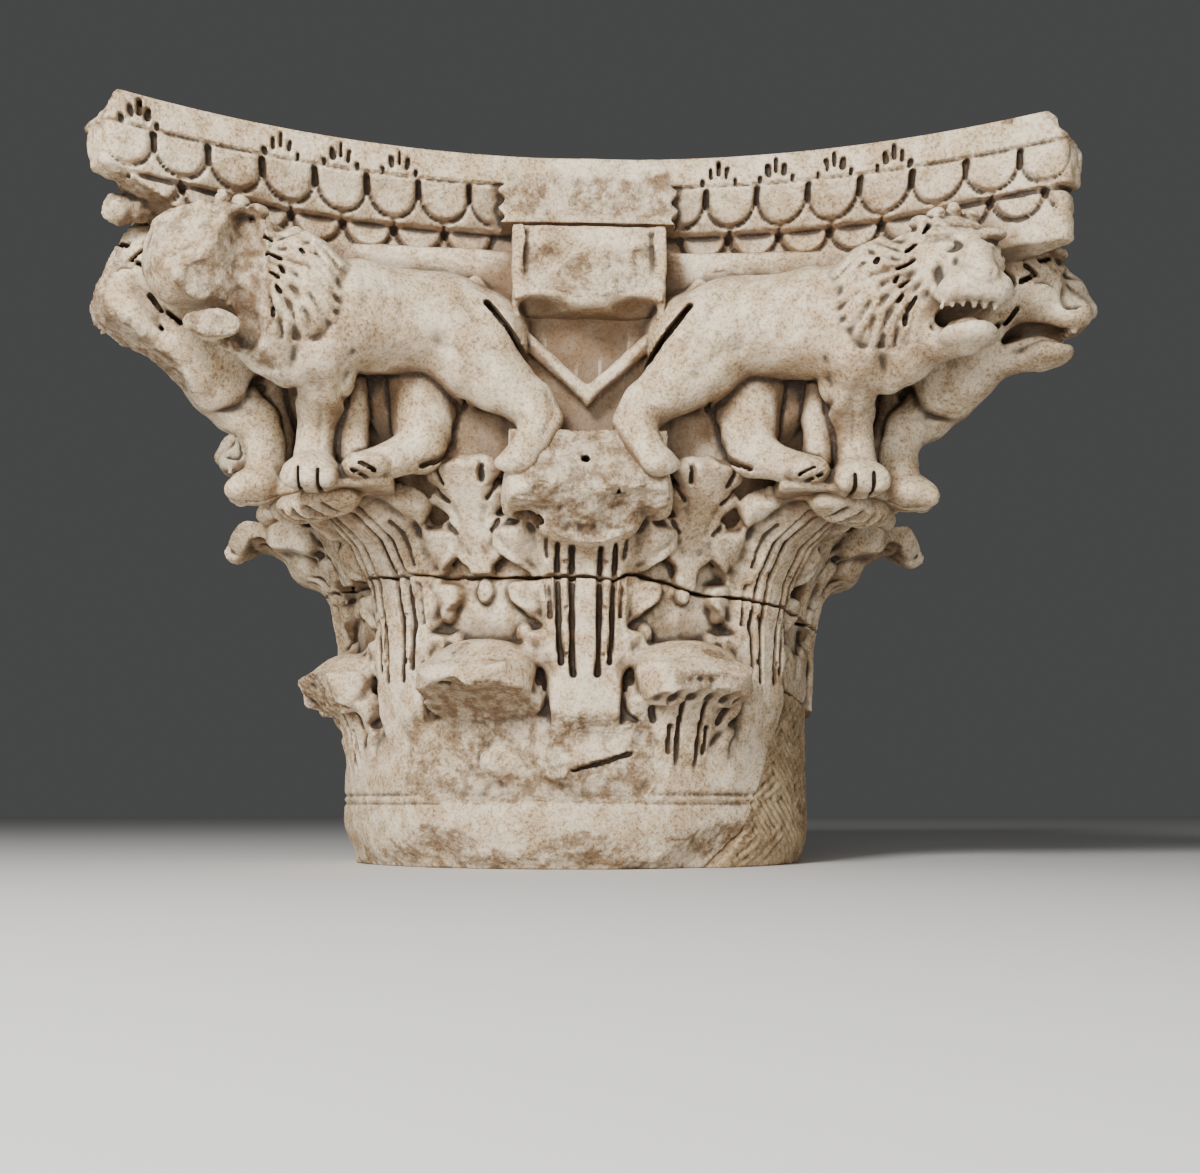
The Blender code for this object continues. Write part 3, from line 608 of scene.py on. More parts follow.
# rump, back, belly and chest
lions.limb(
    [(0.122, 0.366, 0.592), (0.165, 0.376, 0.603), (0.21, 0.39, 0.602), (0.255, 0.41, 0.6), (0.3, 0.432, 0.598)],
    [0.056, 0.054, 0.053, 0.058, 0.064], 0.02,
)
lions.lump((0.128, 0.372, 0.572), (0.05, 0.05, 0.056), turn=10, ease=0.02)
lions.lump((0.288, 0.436, 0.566), (0.044, 0.04, 0.05), turn=-20, ease=0.016)
lions.limb([(0.325, 0.44, 0.59), (0.318, 0.415, 0.545)], [0.044, 0.028], 0.016)
# mane, neck and head
lions.lump((0.318, 0.446, 0.622), (0.06, 0.05, 0.062), turn=-25, ease=0.01)
lions.lump((0.35, 0.462, 0.6), (0.048, 0.046, 0.058), turn=-20, ease=0.01)
lions.lump((0.384, 0.47, 0.644), (0.058, 0.056, 0.06), ease=0.01)
lions.lump((0.386, 0.503, 0.628), (0.049, 0.036, 0.046), ease=0.01)
lions.lump((0.39, 0.532, 0.6), (0.037, 0.034, 0.026), lean=-14, ease=0.01)
lions.limb([(0.392, 0.52, 0.655), (0.392, 0.546, 0.628), (0.392, 0.556, 0.609)], [0.015, 0.016, 0.017], 0.008)
lions.lump((0.392, 0.565, 0.605), (0.017, 0.01, 0.01), ease=0.004)
for side in (-1, 1):
    lions.lump((0.39 + side * 0.019, 0.541, 0.594), (0.022, 0.022, 0.0165), ease=0.008)
    lions.lump((0.39 + side * 0.024, 0.521, 0.662), (0.019, 0.015, 0.008), lean=-10, ease=0.005)
    lions.lump((0.39 + side * 0.021, 0.543, 0.645), (0.0125, 0.017, 0.0092), cutting=True, ease=0.003)
    lions.lump((0.39 + side * 0.021, 0.525, 0.645), (0.0088, 0.009, 0.0062), ease=0.001)
    lions.lump((0.392 + side * 0.008, 0.575, 0.601), (0.0035, 0.006, 0.003), cutting=True, ease=0.001)
    lions.lump((0.39 + side * 0.034, 0.536, 0.61), (0.007, 0.014, 0.018), cutting=True, ease=0.005)
# tufts over the brow
for across, up in ((-0.038, 0.686), (-0.02, 0.695), (0.000, 0.698), (0.02, 0.694)):
    lions.lump((0.386 + across, 0.492, up), (0.011, 0.016, 0.01), turn=across * 900, ease=0.003)
# the throat, the jaw with its tongue, and the open mouth
lions.limb([(0.366, 0.462, 0.578), (0.342, 0.446, 0.556), (0.322, 0.436, 0.54)], [0.03, 0.03, 0.026], 0.012)
lions.limb([(0.388, 0.508, 0.552), (0.368, 0.474, 0.566)], [0.017, 0.028], 0.01)
lions.lump((0.39, 0.516, 0.554), (0.032, 0.031, 0.015), lean=4, ease=0.006)
lions.lump((0.386, 0.502, 0.5765), (0.026, 0.042, 0.0145), cutting=True, ease=0.003)
for across, up in (
    (-0.036, -0.007), (-0.024, -0.002), (-0.012, 0.001), (0.0, 0.002), (0.012, 0.002), (0.024, 0.001), (0.034, -0.003),
):
    lions.lump((0.381 + across, 0.572, 0.57 + up), (0.0095, 0.074, 0.0105), cutting=True, ease=0.002)
for across in (-0.026, -0.015, -0.004, 0.007, 0.018, 0.028):
    lions.lump((0.382 + across, 0.541, 0.579 - 4.0 * across * across), (0.0027, 0.005, 0.0044), ease=0.002)
lions.lump((0.388, 0.496, 0.566), (0.018, 0.038, 0.009), ease=0.003)
# near legs
lions.limb(
    [(0.284, 0.428, 0.57), (0.287, 0.408, 0.533), (0.2945, 0.38, 0.51), (0.298, 0.368, 0.484), (0.301, 0.366, 0.456)],
    [0.04, 0.032, 0.026, 0.0215, 0.024], 0.008,
)
lions.lump((0.303, 0.376, 0.432), (0.034, 0.032, 0.022), ease=0.008)
for toe in (-1, 0, 1):
    lions.lump((0.303 + toe * 0.019, 0.397, 0.425), (0.012, 0.012, 0.013), ease=0.007)
lions.limb(
    [(0.14, 0.376, 0.578), (0.1, 0.378, 0.54), (0.064, 0.38, 0.512), (0.051, 0.38, 0.492), (0.06, 0.388, 0.468),
     (0.076, 0.398, 0.446)],
    [0.047, 0.035, 0.026, 0.022, 0.019, 0.018], 0.01,
)
lions.lump((0.08, 0.4, 0.442), (0.024, 0.014, 0.012), turn=-20, ease=0.008)
# far legs, against the wall
lions.limb(
    [(0.186, 0.345, 0.565), (0.184, 0.343, 0.5), (0.188, 0.35, 0.468), (0.216, 0.37, 0.45), (0.252, 0.386, 0.44)],
    [0.044, 0.036, 0.029, 0.02, 0.015], 0.004,
)
lions.lump((0.243, 0.386, 0.44), (0.028, 0.02, 0.014), turn=-20, ease=0.004)
lions.limb([(0.272, 0.372, 0.56), (0.262, 0.36, 0.5), (0.258, 0.366, 0.455)], [0.024, 0.019, 0.017], 0.004)
# the tail, which runs down to the middle
lions.limb(
    [(0.126, 0.378, 0.65), (0.083, 0.37, 0.602), (0.037, 0.364, 0.561), (0.005, 0.36, 0.533), (-0.01, 0.356, 0.515)],
    [0.01, 0.0095, 0.009, 0.009, 0.009], 0.002,
)
# the locks of the mane: two rings round the face and a loose rear edge over the shoulder
mane = []
for ring, (middle, wide, tall, first, last, count, length, swing) in enumerate((
    ((0.384, 0.626), 0.054, 0.06, 100, 250, 9, 0.024, 0.5),
    ((0.364, 0.616), 0.066, 0.068, 95, 245, 10, 0.028, 0.7),
    ((0.342, 0.61), 0.072, 0.07, 95, 250, 9, 0.03, 0.9),
)):
    for lock in range(count):
        turn = math.radians(first + (last - first) * (lock + 0.5 * (ring % 2)) / count)
        root = (middle[0] + wide * 0.62 * math.cos(turn), middle[1] + tall * 0.62 * math.sin(turn))
        bend = turn + 0.25 * swing
        crook = (middle[0] + wide * 0.85 * math.cos(bend), middle[1] + tall * 0.85 * math.sin(bend))
        curl = bend + 0.6 * swing
        tip = (crook[0] + length * 0.5 * math.cos(curl), crook[1] + length * 0.5 * math.sin(curl))
        mane.append(bent([root, crook, tip], steps=3))
for k in range(6):
    tip = (0.262 + 0.004 * (k % 3), 0.636 - 0.012 * k)
    mane.append(bent([(0.3 - 0.01 * k % 0.02, 0.668 - 0.013 * k), (0.28, 0.655 - 0.0135 * k), tip], steps=3))


def locks(x, z):
    away = np.minimum.reduce([from_line(x, z, lock) for lock in mane])
    keep = np.maximum(rising(-(x - 0.336) - 0.3 * np.abs(z - 0.6), -0.026, 0.006), rising(z, 0.668, 0.678))
    depth = 0.0026 * rising(away, 0.002, 0.0065) - 0.002 * rising(-away, -0.005, -0.0005)
    return depth * keep * rising(x, 0.245, 0.262)


lions.front(locks, (0.235, 0.405, 0.552), (0.43, 0.6, 0.705))
for paths, width, depth, *out in (
    ([[(0.112, 0.617), (0.088, 0.588), (0.066, 0.56)]], 0.0075, 0.022),
    ([[(0.06, 0.556), (0.034, 0.535), (0.016, 0.52)]], 0.004, 0.007),
    ([bent([(0.12, 0.546), (0.136, 0.522), (0.148, 0.496), (0.151, 0.474), (0.162, 0.456), (0.184, 0.445)])],
     0.0055, 0.01, (0.25, 0.378)),
    ([[(0.293, 0.412), (0.292, 0.432)], [(0.313, 0.412), (0.313, 0.434)]], 0.0034, 0.008),
    ([[(0.232, 0.432), (0.25, 0.44)], [(0.24, 0.426), (0.258, 0.433)]], 0.003, 0.008),
    ([[(0.323, 0.632), (0.338, 0.638)], [(0.319, 0.616), (0.323, 0.624)], [(0.324, 0.611), (0.333, 0.617)],
      [(0.331, 0.585), (0.335, 0.592), (0.339, 0.598)], [(0.329, 0.571), (0.33, 0.58)],
      [(0.322, 0.596), (0.326, 0.602)], [(0.334, 0.652), (0.342, 0.657)], [(0.35, 0.668), (0.356, 0.678)],
      [(0.3, 0.64), (0.304, 0.646)]], 0.0038, 0.011),
    ([[(0.428, 0.64), (0.433, 0.65)], [(0.43, 0.62), (0.436, 0.63)], [(0.428, 0.6), (0.434, 0.609)]], 0.0035, 0.01),
):
    lions.drill(paths, width, depth, *out)


def body_lines(x, z):
    """Soft chisel work: folds behind the shoulder and elbow, ribs, and the sinews of the legs."""
    depth = 0 * (x + z)
    for path, width, cut in (
        ([(0.268, 0.612), (0.266, 0.59), (0.276, 0.566), (0.29, 0.552)], 0.005, 0.0035),
        ([(0.252, 0.548), (0.262, 0.53), (0.268, 0.51)], 0.005, 0.004),
        ([(0.14, 0.618), (0.122, 0.592), (0.104, 0.566)], 0.007, 0.003),
        ([(0.165, 0.57), (0.14, 0.558), (0.118, 0.538)], 0.008, 0.003),
        ([(0.205, 0.626), (0.2, 0.6), (0.205, 0.576)], 0.006, 0.0015),
        ([(0.224, 0.628), (0.218, 0.602), (0.222, 0.578)], 0.006, 0.0015),
        ([(0.242, 0.626), (0.236, 0.602), (0.24, 0.58)], 0.006, 0.0015),
        ([(0.045, 0.52), (0.037, 0.498), (0.05, 0.472)], 0.004, 0.0025),
        ([(0.288, 0.512), (0.292, 0.488), (0.294, 0.462)], 0.004, 0.002),
        ([(0.3, 0.56), (0.312, 0.54), (0.318, 0.52)], 0.006, 0.003),
    ):
        depth = depth + cut * np.exp(-((from_line(x, z, bent(path)) / width) ** 2))
    return depth


lions.front(body_lines, (0.0, 0.37, 0.44), (0.33, 0.6, 0.68))
lions.mirrored(0.02)
# slots in the manes at the ends of the sides, where they show from the front
for slot in (
    [(0.446, 0.681), (0.459, 0.667)], [(0.466, 0.679), (0.477, 0.668)], [(0.454, 0.656), (0.467, 0.64)],
    [(0.479, 0.661), (0.492, 0.652)], [(0.474, 0.642), (0.487, 0.649)], [(0.455, 0.624), (0.464, 0.635)],
    [(0.465, 0.603), (0.475, 0.617)], [(0.499, 0.668), (0.511, 0.673)], [(0.447, 0.595), (0.459, 0.603)],
):
    lions.drill([slot], 0.0042, 0.012, (0.33, 0.5))
lions = lions.all_round()
above_break(lions)
# old blows: the faces of both lions at the left corner are gone
lions.lump((-0.428, -0.478, 0.64), (0.042, 0.048, 0.054), turn=30, ease=0.014)
lions.lump((-0.506, -0.388, 0.6), (0.036, 0.036, 0.034), ease=0.012)
for place, facing, low, high, seed in (
    ((-0.374, -0.5, 0.64), (1.00, -0.45, -0.1), (-0.46, -0.66, 0.53), (-0.33, -0.462, 0.71), 61),
    ((-0.4, -0.524, 0.626), (-0.35, -1.00, 0.35), (-0.52, -0.66, 0.55), (-0.325, -0.42, 0.76), 64),
    ((-0.4, -0.524, 0.626), (0.55, -0.7, -0.45), (-0.48, -0.66, 0.52), (-0.334, -0.42, 0.71), 67),
    ((-0.45, -0.505, 0.64), (-0.9, -0.8, 0.2), (-0.58, -0.64, 0.54), (-0.4, -0.4, 0.76), 70),
    ((-0.41, -0.515, 0.574), (-0.2, -0.5, -1.00), (-0.54, -0.66, 0.46), (-0.3, -0.42, 0.64), 73),
    ((-0.536, -0.4, 0.64), (-1.00, -0.3, 0.55), (-0.64, -0.5, 0.56), (-0.46, -0.28, 0.74), 79),
    ((-0.534, -0.4, 0.61), (-1.00, -0.5, -0.45), (-0.64, -0.52, 0.52), (-0.44, -0.28, 0.7), 82),
    ((-0.5, -0.4, 0.582), (-0.5, -0.3, -1.00), (-0.64, -0.54, 0.48), (-0.42, -0.28, 0.64), 85),
):
    lions.knock(place, facing, low, high, 0.0035, seed, 0.034)
lions.lump((-0.546, -0.396, 0.548), (0.05, 0.056, 0.026), turn=60, cutting=True, rough=0.003, seed=59, ease=0.003)
lions.lump((-0.412, -0.536, 0.58), (0.036, 0.026, 0.009), turn=8, cutting=True, rough=0.002, seed=57, ease=0.002)
lions.lump((-0.39, -0.494, 0.562), (0.03, 0.022, 0.015), ease=0.012, rough=0.002, seed=60)
lions.knock((-0.39, -0.506, 0.562), (0.2, -1.0, -0.35), (-0.48, -0.6, 0.49), (-0.32, -0.42, 0.64), 0.003, 62, 0.03)
lions.limb([(-0.391, -0.56, 0.563), (-0.391, -0.516, 0.563)], [0.0045, 0.004], 0.001, cutting=True)
lions.lump((0.394, -0.535, 0.678), (0.03, 0.024, 0.014), cutting=True, rough=0.004, seed=71)
halves(lions, "lions", 198000, 130000, "upper_stone")

# The abacus: the slab on top of the capital, concave on all four sides. A lip carries small drilled palmettes,
# and two rows of scales hang under it, cut round with a groove and drilled where they meet.
SLAB_REACH = 0.538
SAG = 0.152
HORN = 0.046
side_half = SLAB_REACH - HORN
side_radius = (side_half**2 + SAG**2) / (2 * SAG)
LIP_FOOT = 0.767
TIER_LINE = 0.72
TIER_FOOT = 0.663
SCALE_PITCH = 0.0578
FAN_PLACES = (0.2135, 0.279, 0.3445)
PLAIN_HALF = 0.098


def along_side(x):
    return side_radius * np.arcsin(np.clip(x / side_radius, -0.999, 0.999))


def side_face(x):
    """How far out the top edge of a side lies."""
    return SLAB_REACH - SAG + side_radius - np.sqrt(np.maximum(side_radius**2 - x * x, 0.01))


def face_relief(x, z):
    """How far the carved face of a side lies behind its top edge, at a place along it and a height."""
    corner = rising(x, 0.3, 0.46)
    back = np.where(z > LIP_FOOT, 0.003 + 0.1 * (BED - z), 0.0115)
    back = back + 0.03 * (1 - 0.65 * corner) * np.clip((LIP_FOOT - 0.004 - z) / (LIP_FOOT - TIER_LINE), 0, 1)
    back = back + 0.006 * (1 - 0.4 * corner) * (z < TIER_LINE) + 0.1 * np.clip(0.69 - z, 0, 1)
    s = along_side(x)
    carved = rising(s, PLAIN_HALF + 0.006, PLAIN_HALF + 0.014)
    cut = 0.0 * back
    for first, top, tall, square, slot_foot, slot_head in (
        (0.135, LIP_FOOT - 0.001, 0.0405, 0.3, 0.018, 0.001),
        (0.1065, TIER_LINE + 0.001, 0.03, 0.02, 0.008, -0.005),
    ):
        number = np.round((s - first) / SCALE_PITCH - 0.5)
        across = (s - first - (number + 0.5) * SCALE_PITCH) / (SCALE_PITCH / 2)
        down = (top - z) / tall
        bowl = np.sqrt(across**2 + np.clip((down - square) / (1 - square), 0, 2) ** 2)
        edge = (bowl - 0.94) * SCALE_PITCH / 2
        wide = 0.0021 + 0.0008 * np.clip(1 - down, 0, 1)
        within = (down > 0.0) & (down < 1.35)
        groove = 0.005 * np.exp(-((edge / wide) ** 2))
        plate = -0.003 * rising(-edge, -0.0005, 0.002) + 0.0016 * np.exp(-((bowl / 0.6) ** 2))
        away = np.abs((s - first) - np.round((s - first) / SCALE_PITCH) * SCALE_PITCH)
        slot = 0.008 * rising(-away, -0.0023, -0.0003) * (top - z > slot_head) * (top - z < slot_foot)
        cut = cut + np.where(within, groove + plate, 0.0) + slot
    cut = cut * carved + 0.0065 * np.exp(-(((z - TIER_LINE) / 0.0017) ** 2)) * (0.6 + 0.8 * corner)
    return back + cut + fans(s, z, FAN_PLACES)


def fans(s, z, middles):
    """The drilled palmettes on the lip: a fan of slots, tallest in the middle, with a round hole on either side."""
    rise = z - LIP_FOOT
    depth = 0.0 * (s + z)
    for middle in middles:
        fan = np.abs(s - middle)
        for centre, foot, head, half in (
            (0.0, 0.0115, 0.027, 0.0018), (0.0078, 0.0085, 0.019, 0.0018), (0.018, 0.003, 0.006, 0.0021),
        ):
            beyond = np.maximum(np.abs(rise - (foot + head) / 2) - (head - foot) / 2, 0)
            away = np.sqrt((fan - centre - 0.08 * rise * (centre > 0)) ** 2 + beyond**2)
            depth = np.maximum(depth, 0.009 * rising(-away, -half - 0.0006, 0.0006 - half))
        stalk = np.exp(-(((fan - 0.0125 + 0.5 * rise) / 0.0022) ** 2)) * (rise > 0.001) * (rise < 0.01)
        depth = np.maximum(depth, 0.003 * stalk)
    return depth


abacus = Stone((0, 0, 0.645), (0.56, 0.56, 0.81))
spans, x, y, z = abacus.room((0, 0, 0.645), (0.56, 0.56, 0.81))
slope = np.sqrt(1 + (x / np.sqrt(np.maximum(side_radius**2 - x * x, 0.01))) ** 2)
face = (y - side_face(x) + face_relief(x + 0 * z, z + 0 * x)) / slope
# a block of the lost flower stands out at the middle of each side
middle_block = np.maximum(x - PLAIN_HALF - 0.004 * np.sin(z * 300), TIER_LINE + 0.001 - z)
middle_block = np.maximum(middle_block, y - side_face(0 * x) - 0.001)
face = np.minimum(face, softly_most(middle_block, z - BED, 0.002))
lower_horn = 0.008 * (z < TIER_LINE) + 0.003 * (z < LIP_FOOT)
horn = (x + y - (2 * SLAB_REACH - HORN)) * 0.7071 + lower_horn + 0.006 * np.exp(-(((z - TIER_LINE) / 0.003) ** 2))
plan = softly_most(np.maximum(face, face.transpose(1, 0, 2)), horn, 0.01)
plan = softly_most(plan, TIER_FOOT - z, 0.006)
abacus.field[:] = softly_most(plan, z - BED, 0.005)
abacus = abacus.all_round()
# two more palmettes are left on the front
for middle in (0.148, -0.47):
    low, high = (middle - 0.04, -0.56, 0.763), (middle + 0.04, -0.37, 0.801)
    spot = math.copysign(float(along_side(abs(middle))), middle)
    abacus.front(lambda x, z: fans(along_side(x), z, (spot,)), low, high)
# old blows: the flower, the lower tier at the left corner but for a knob, and chips along the top edge
for place, facing, low, high, rough, seed in (
    ((0.0, -0.3835, 0.76), (0.02, -1.0, -0.3), (-0.125, -0.43, 0.712), (0.125, -0.355, 0.812), 0.0035, 111),
    ((-0.455, -0.45, 0.69), (-0.75, -0.66, -0.25), (-0.56, -0.56, 0.64), (-0.33, -0.33, 0.7185), 0.006, 114),
):
    abacus.knock(place, facing, low, high, rough, seed, 0.03)
abacus.lump((-0.502, -0.455, 0.699), (0.017, 0.018, 0.014), ease=0.006, rough=0.006, seed=115)
abacus.lump((-0.486, -0.448, 0.704), (0.016, 0.018, 0.013), turn=30, ease=0.006, rough=0.006, seed=116)
abacus.limb([(-0.485, -0.445, 0.705), (-0.455, -0.42, 0.718)], [0.012, 0.02], 0.01)
for place, facing, size, seed in (
    ((-0.51, -0.5, 0.788), (-1.0, -0.6, 0.9), 0.06, 117),
    ((0.505, -0.496, 0.787), (1.0, -0.6, 0.9), 0.07, 120),
    ((0.515, 0.505, 0.786), (1.0, 1.0, 0.9), 0.05, 123),
    ((-0.512, 0.508, 0.79), (-1.0, 1.0, 0.9), 0.05, 126),
    ((0.075, -0.386, 0.792), (0.0, -1.0, 1.1), 0.035, 129),
    ((-0.4, -0.492, 0.797), (0.3, -1.0, 1.4), 0.05, 132),
    ((0.255, -0.434, 0.798), (-0.3, -1.0, 1.5), 0.05, 135),
    ((0.44, -0.508, 0.797), (-0.3, -1.0, 1.3), 0.04, 138),
    ((-0.2, -0.42, 0.798), (0.2, -1.0, 1.6), 0.05, 141),
    ((0.512, -0.5, 0.668), (1.0, -1.0, -1.0), 0.04, 144),
    ((-0.386, 0.06, 0.796), (-1.0, 0.0, 1.2), 0.05, 147),
    ((0.42, 0.2, 0.798), (1.0, 0.2, 1.4), 0.05, 150),
    ((0.3, 0.45, 0.796), (0.2, 1.0, 1.2), 0.05, 153),
):
    low, high = [c - size for c in place], [c + size for c in place]
    abacus.knock(place, facing, low, high, 0.0045, seed, 0.022)
halves(abacus, "abacus", 198000, 120000, "upper_stone")

# The tablets: a plain block at the middle of each side, between two strips that run down to the tails, with the
# stump of a lost ornament. They are of the same marble and stand out over a deep undercut.
tablets = Stone((0, 0.3, 0.57), (0.12, 0.45, 0.73))
spans, x, y, z = tablets.room((0, 0.3, 0.57), (0.12, 0.45, 0.73))
block = softly_most(np.maximum(x - 0.082, y - 0.412), np.abs(z - 0.664) - 0.046, 0.008)
strip = np.maximum(np.abs(x - 0.0785) - 0.007, y - 0.419 + 0.35 * np.clip(0.66 - z, 0, 1))
strip = softly_most(strip, np.abs(z - 0.656) - 0.051, 0.004)
tablets.field[:] = np.maximum(softly_least(block, strip, 0.002), 0.312 - y)
tablets.lump((0.0, 0.412, 0.645), (0.034, 0.017, 0.028), ease=0.012)
tablets.lump((0.05, 0.412, 0.69), (0.016, 0.008, 0.012), ease=0.01)
tablets.lump((0.052, 0.405, 0.616), (0.026, 0.035, 0.012), cutting=True, ease=0.008)
tablets.lump((0.034, 0.424, 0.672), (0.012, 0.008, 0.02), cutting=True, ease=0.008)
half = np.concatenate([tablets.field[::-1], tablets.field], axis=0)
front_half = np.ascontiguousarray(half[:, ::-1])
for name, field, low, high, turns in (
    ("tablet_front", front_half, (-0.12, -0.45), (0.12, -0.3), 0),
    ("tablet_right", front_half, (0.3, -0.12), (0.45, 0.12), 1),
    ("tablet_back", front_half, (-0.12, 0.3), (0.12, 0.45), 2),
    ("tablet_left", front_half, (-0.45, -0.12), (-0.3, 0.12), 3),
):
    tablet = Stone((*low, 0.57), (*high, 0.73), np.ascontiguousarray(np.rot90(field, turns, (0, 1))))
    out = (round(math.sin(turns * math.pi / 2)), -round(math.cos(turns * math.pi / 2)))
    face_low = [0.3 * o - 0.1 if o >= 0 else -0.46 for o in out]
    face_high = [0.46 if o > 0 else 0.3 * o + 0.1 for o in out]
    place, facing = (0.415 * out[0], 0.415 * out[1], 0.66), (*out, -0.12)
    tablet.knock(place, facing, (*face_low, 0.606), (*face_high, 0.712), 0.004, 160 + 3 * turns, 0.022)
    dressed(tablet, name, 24000, "upper_stone")

# The lower stone: the collar and the foot of the bell, below the break. The stems of the high leaves and the low
# leaves with their hanging tips stand on it, and the tool has left two fine lines round the collar.
stump = Stone((0, 0, -0.01), (0.42, 0.42, 0.36))


def collar(x, y, z):
    radius = np.sqrt(x * x + y * y)
    out = FOOT_RADIUS + 0.016 * rising(z, 0.0, 0.055) - 0.015 * rising(z, 0.1, 0.23)
    lines = 0.0032 * (np.exp(-(((z - 0.084) / 0.0026) ** 2)) + np.exp(-(((z - 0.0745) / 0.0024) ** 2)))
    return np.maximum((radius - out + lines) * 0.98, np.maximum(z - 0.24, -z))


stump.add(collar, (0, 0, -0.01), (0.42, 0.42, 0.26))
add_bell(stump, 0.08, 0.36)
# small lobes on the bell between the stems
for degrees, up, tall in (
    (11.5, 0.302, 0.015), (13.5, 0.268, 0.011), (32.0, 0.296, 0.014), (30.0, 0.262, 0.01), (22.5, 0.318, 0.016),
):
    turned = math.radians(degrees)
    out = float(bell_radius(up)) + 0.003
    place = (out * math.sin(turned), out * math.cos(turned), up)
    stump.lump(place, (0.01, 0.009, tall), turn=-degrees, lean=8, ease=0.004)
for turn in (0.0, math.radians(45)):
    stem = carved_leaf(turn, high_leaf_line, high_leaf, 0.013, 0.008)
    stump.add(lambda x, y, z: stem(x, y, z) + 0.016 * rising(-z, -0.2, -0.1), (0, 0, 0.09), (0.42, 0.42, 0.36), 0.006)
low_leaf_line = [
    (0.292, 0.088), (0.296, 0.13), (0.303, 0.165), (0.316, 0.194), (0.338, 0.214), (0.36, 0.214), (0.372, 0.198),
]
low_leaf_outline = [
    (0.0, 0.04), (0.03, 0.056), (0.055, 0.062), (0.072, 0.07), (0.079, 0.058), (0.092, 0.07), (0.108, 0.073),
    (0.116, 0.06), (0.13, 0.066), (0.15, 0.062), (0.168, 0.046), (0.178, 0.024), (0.18, 0.008),
]
low_leaf_strokes = [
    ([(0.02, 0.036), (0.07, 0.042), (0.105, 0.044)], 0.013, 0.006),
    ([(0.0, 0.0), (0.06, 0.0), (0.11, 0.0)], 0.009, -0.002),
    ([(0.055, 0.034), (0.07, 0.052), (0.075, 0.066)], 0.004, 0.003),
]
low_leaf_cuts = [
    ([(0.012, 0.012), (0.06, 0.0135), (0.118, 0.0145)], 0.0044, 0.01),
    ([(0.045, 0.0225), (0.076, 0.0235)], 0.005, 0.01),
    ([(0.082, 0.042), (0.098, 0.048)], 0.007, 0.012),
]
low_leaf = drawn_leaf(0.182, 0.08, low_leaf_outline, low_leaf_strokes, low_leaf_cuts)
body = carved_leaf(EIGHTH, low_leaf_line, low_leaf, 0.012, 0.006)
stump.add(lambda x, y, z: body(x, y, z) + 0.01 * rising(-z, -0.135, -0.085), (0, 0.12, 0.08), (0.3, 0.42, 0.26), 0.006)
for across, out, up, radii, cutting in (
    (0.0, 0.312, 0.226, (0.066, 0.046, 0.034), False),
    (0.0, 0.338, 0.214, (0.06, 0.036, 0.022), False),
    (-0.044, 0.33, 0.2, (0.02, 0.03, 0.018), False),
    (0.044, 0.33, 0.2, (0.02, 0.03, 0.018), False),
    (-0.052, 0.352, 0.184, (0.012, 0.03, 0.011), True),
    (-0.032, 0.362, 0.188, (0.013, 0.036, 0.011), True),
    (-0.01, 0.368, 0.19, (0.014, 0.04, 0.01), True),
    (0.013, 0.368, 0.189, (0.014, 0.04, 0.011), True),
    (0.034, 0.362, 0.187, (0.013, 0.036, 0.011), True),
    (0.053, 0.352, 0.184, (0.012, 0.03, 0.011), True),
):
    place = (out * math.sin(EIGHTH) + across * math.cos(EIGHTH), out * math.cos(EIGHTH) - across * math.sin(EIGHTH), up)
    stump.lump(place, radii, turn=-22.5, lean=-14 * (not cutting), ease=0.003 if cutting else 0.014, cutting=cutting)
stump.mirrored()
stump = stump.all_round()
spans, x, y, z = stump.room((-1, -1, 0.25), (1, 1, 0.4))
stump.field[spans] = np.maximum(stump.field[spans], z - break_height(x, y) + JOINT)
spans, x, y, z = stump.room((-1, -1, -0.02), (1, 1, 0.02))
stump.field[spans] = np.maximum(stump.field[spans], -z)
# old blows: the left low leaf is broken away over a rough hollow, the one at the right end is gone, and the tips
# and the foot are chipped


def lost_leaf(x, y, z):
    radius = np.sqrt(x * x + y * y)
    beside = np.abs(np.arctan2(x, -y) - math.radians(67.5)) * 0.33 - 0.082
    behind = np.abs(np.arctan2(x, -y) - math.radians(112.5)) * 0.33 - 0.082
    rough = 0.004 * roughness(x, y, z, 0.03, 79)
    beside = np.maximum(bell_radius(z) + 0.012 - radius, beside)
    gone = np.minimum(beside, np.maximum(bell_radius(z) + 0.018 - radius, behind))
    return np.maximum(gone + rough, np.maximum(z - 0.275, 0.05 - z))


stump.cut(lost_leaf, (0.15, -0.4, 0.05), (0.42, 0.3, 0.28), 0.008)
stump.knock((-0.108, -0.266, 0.145), (-0.42, -1.0, -0.05), (-0.3, -0.44, 0.06), (0.06, -0.18, 0.2), 0.005, 81, 0.036)
stump.knock((0.000, -0.289, 0.125), (0.05, -1.0, -0.15), (-0.11, -0.44, 0.06), (0.1, -0.18, 0.19), 0.004, 83, 0.03)
for place, seed in (
    ((-0.156, -0.342, 0.258), 95), ((-0.104, -0.368, 0.254), 96),
    ((0.098, -0.362, 0.262), 97), ((0.16, -0.345, 0.258), 98),
):
    stump.lump(
        place, (0.036, 0.034, 0.02), turn=-130 * place[0], lean=-20, cutting=True, rough=0.0045, seed=seed, ease=0.003,
    )
for place, radii, turn, rough, seed in (
    ((-0.156, -0.338, 0.194), (0.028, 0.026, 0.017), 20, 0.005, 84),
    ((-0.098, -0.362, 0.19), (0.026, 0.026, 0.017), 10, 0.005, 86),
    ((-0.062, -0.35, 0.172), (0.016, 0.022, 0.009), 10, 0.003, 88),
    ((-0.178, -0.3, 0.18), (0.015, 0.022, 0.009), 30, 0.003, 90),
):
    stump.lump(place, radii, turn=turn, cutting=True, rough=rough, seed=seed)
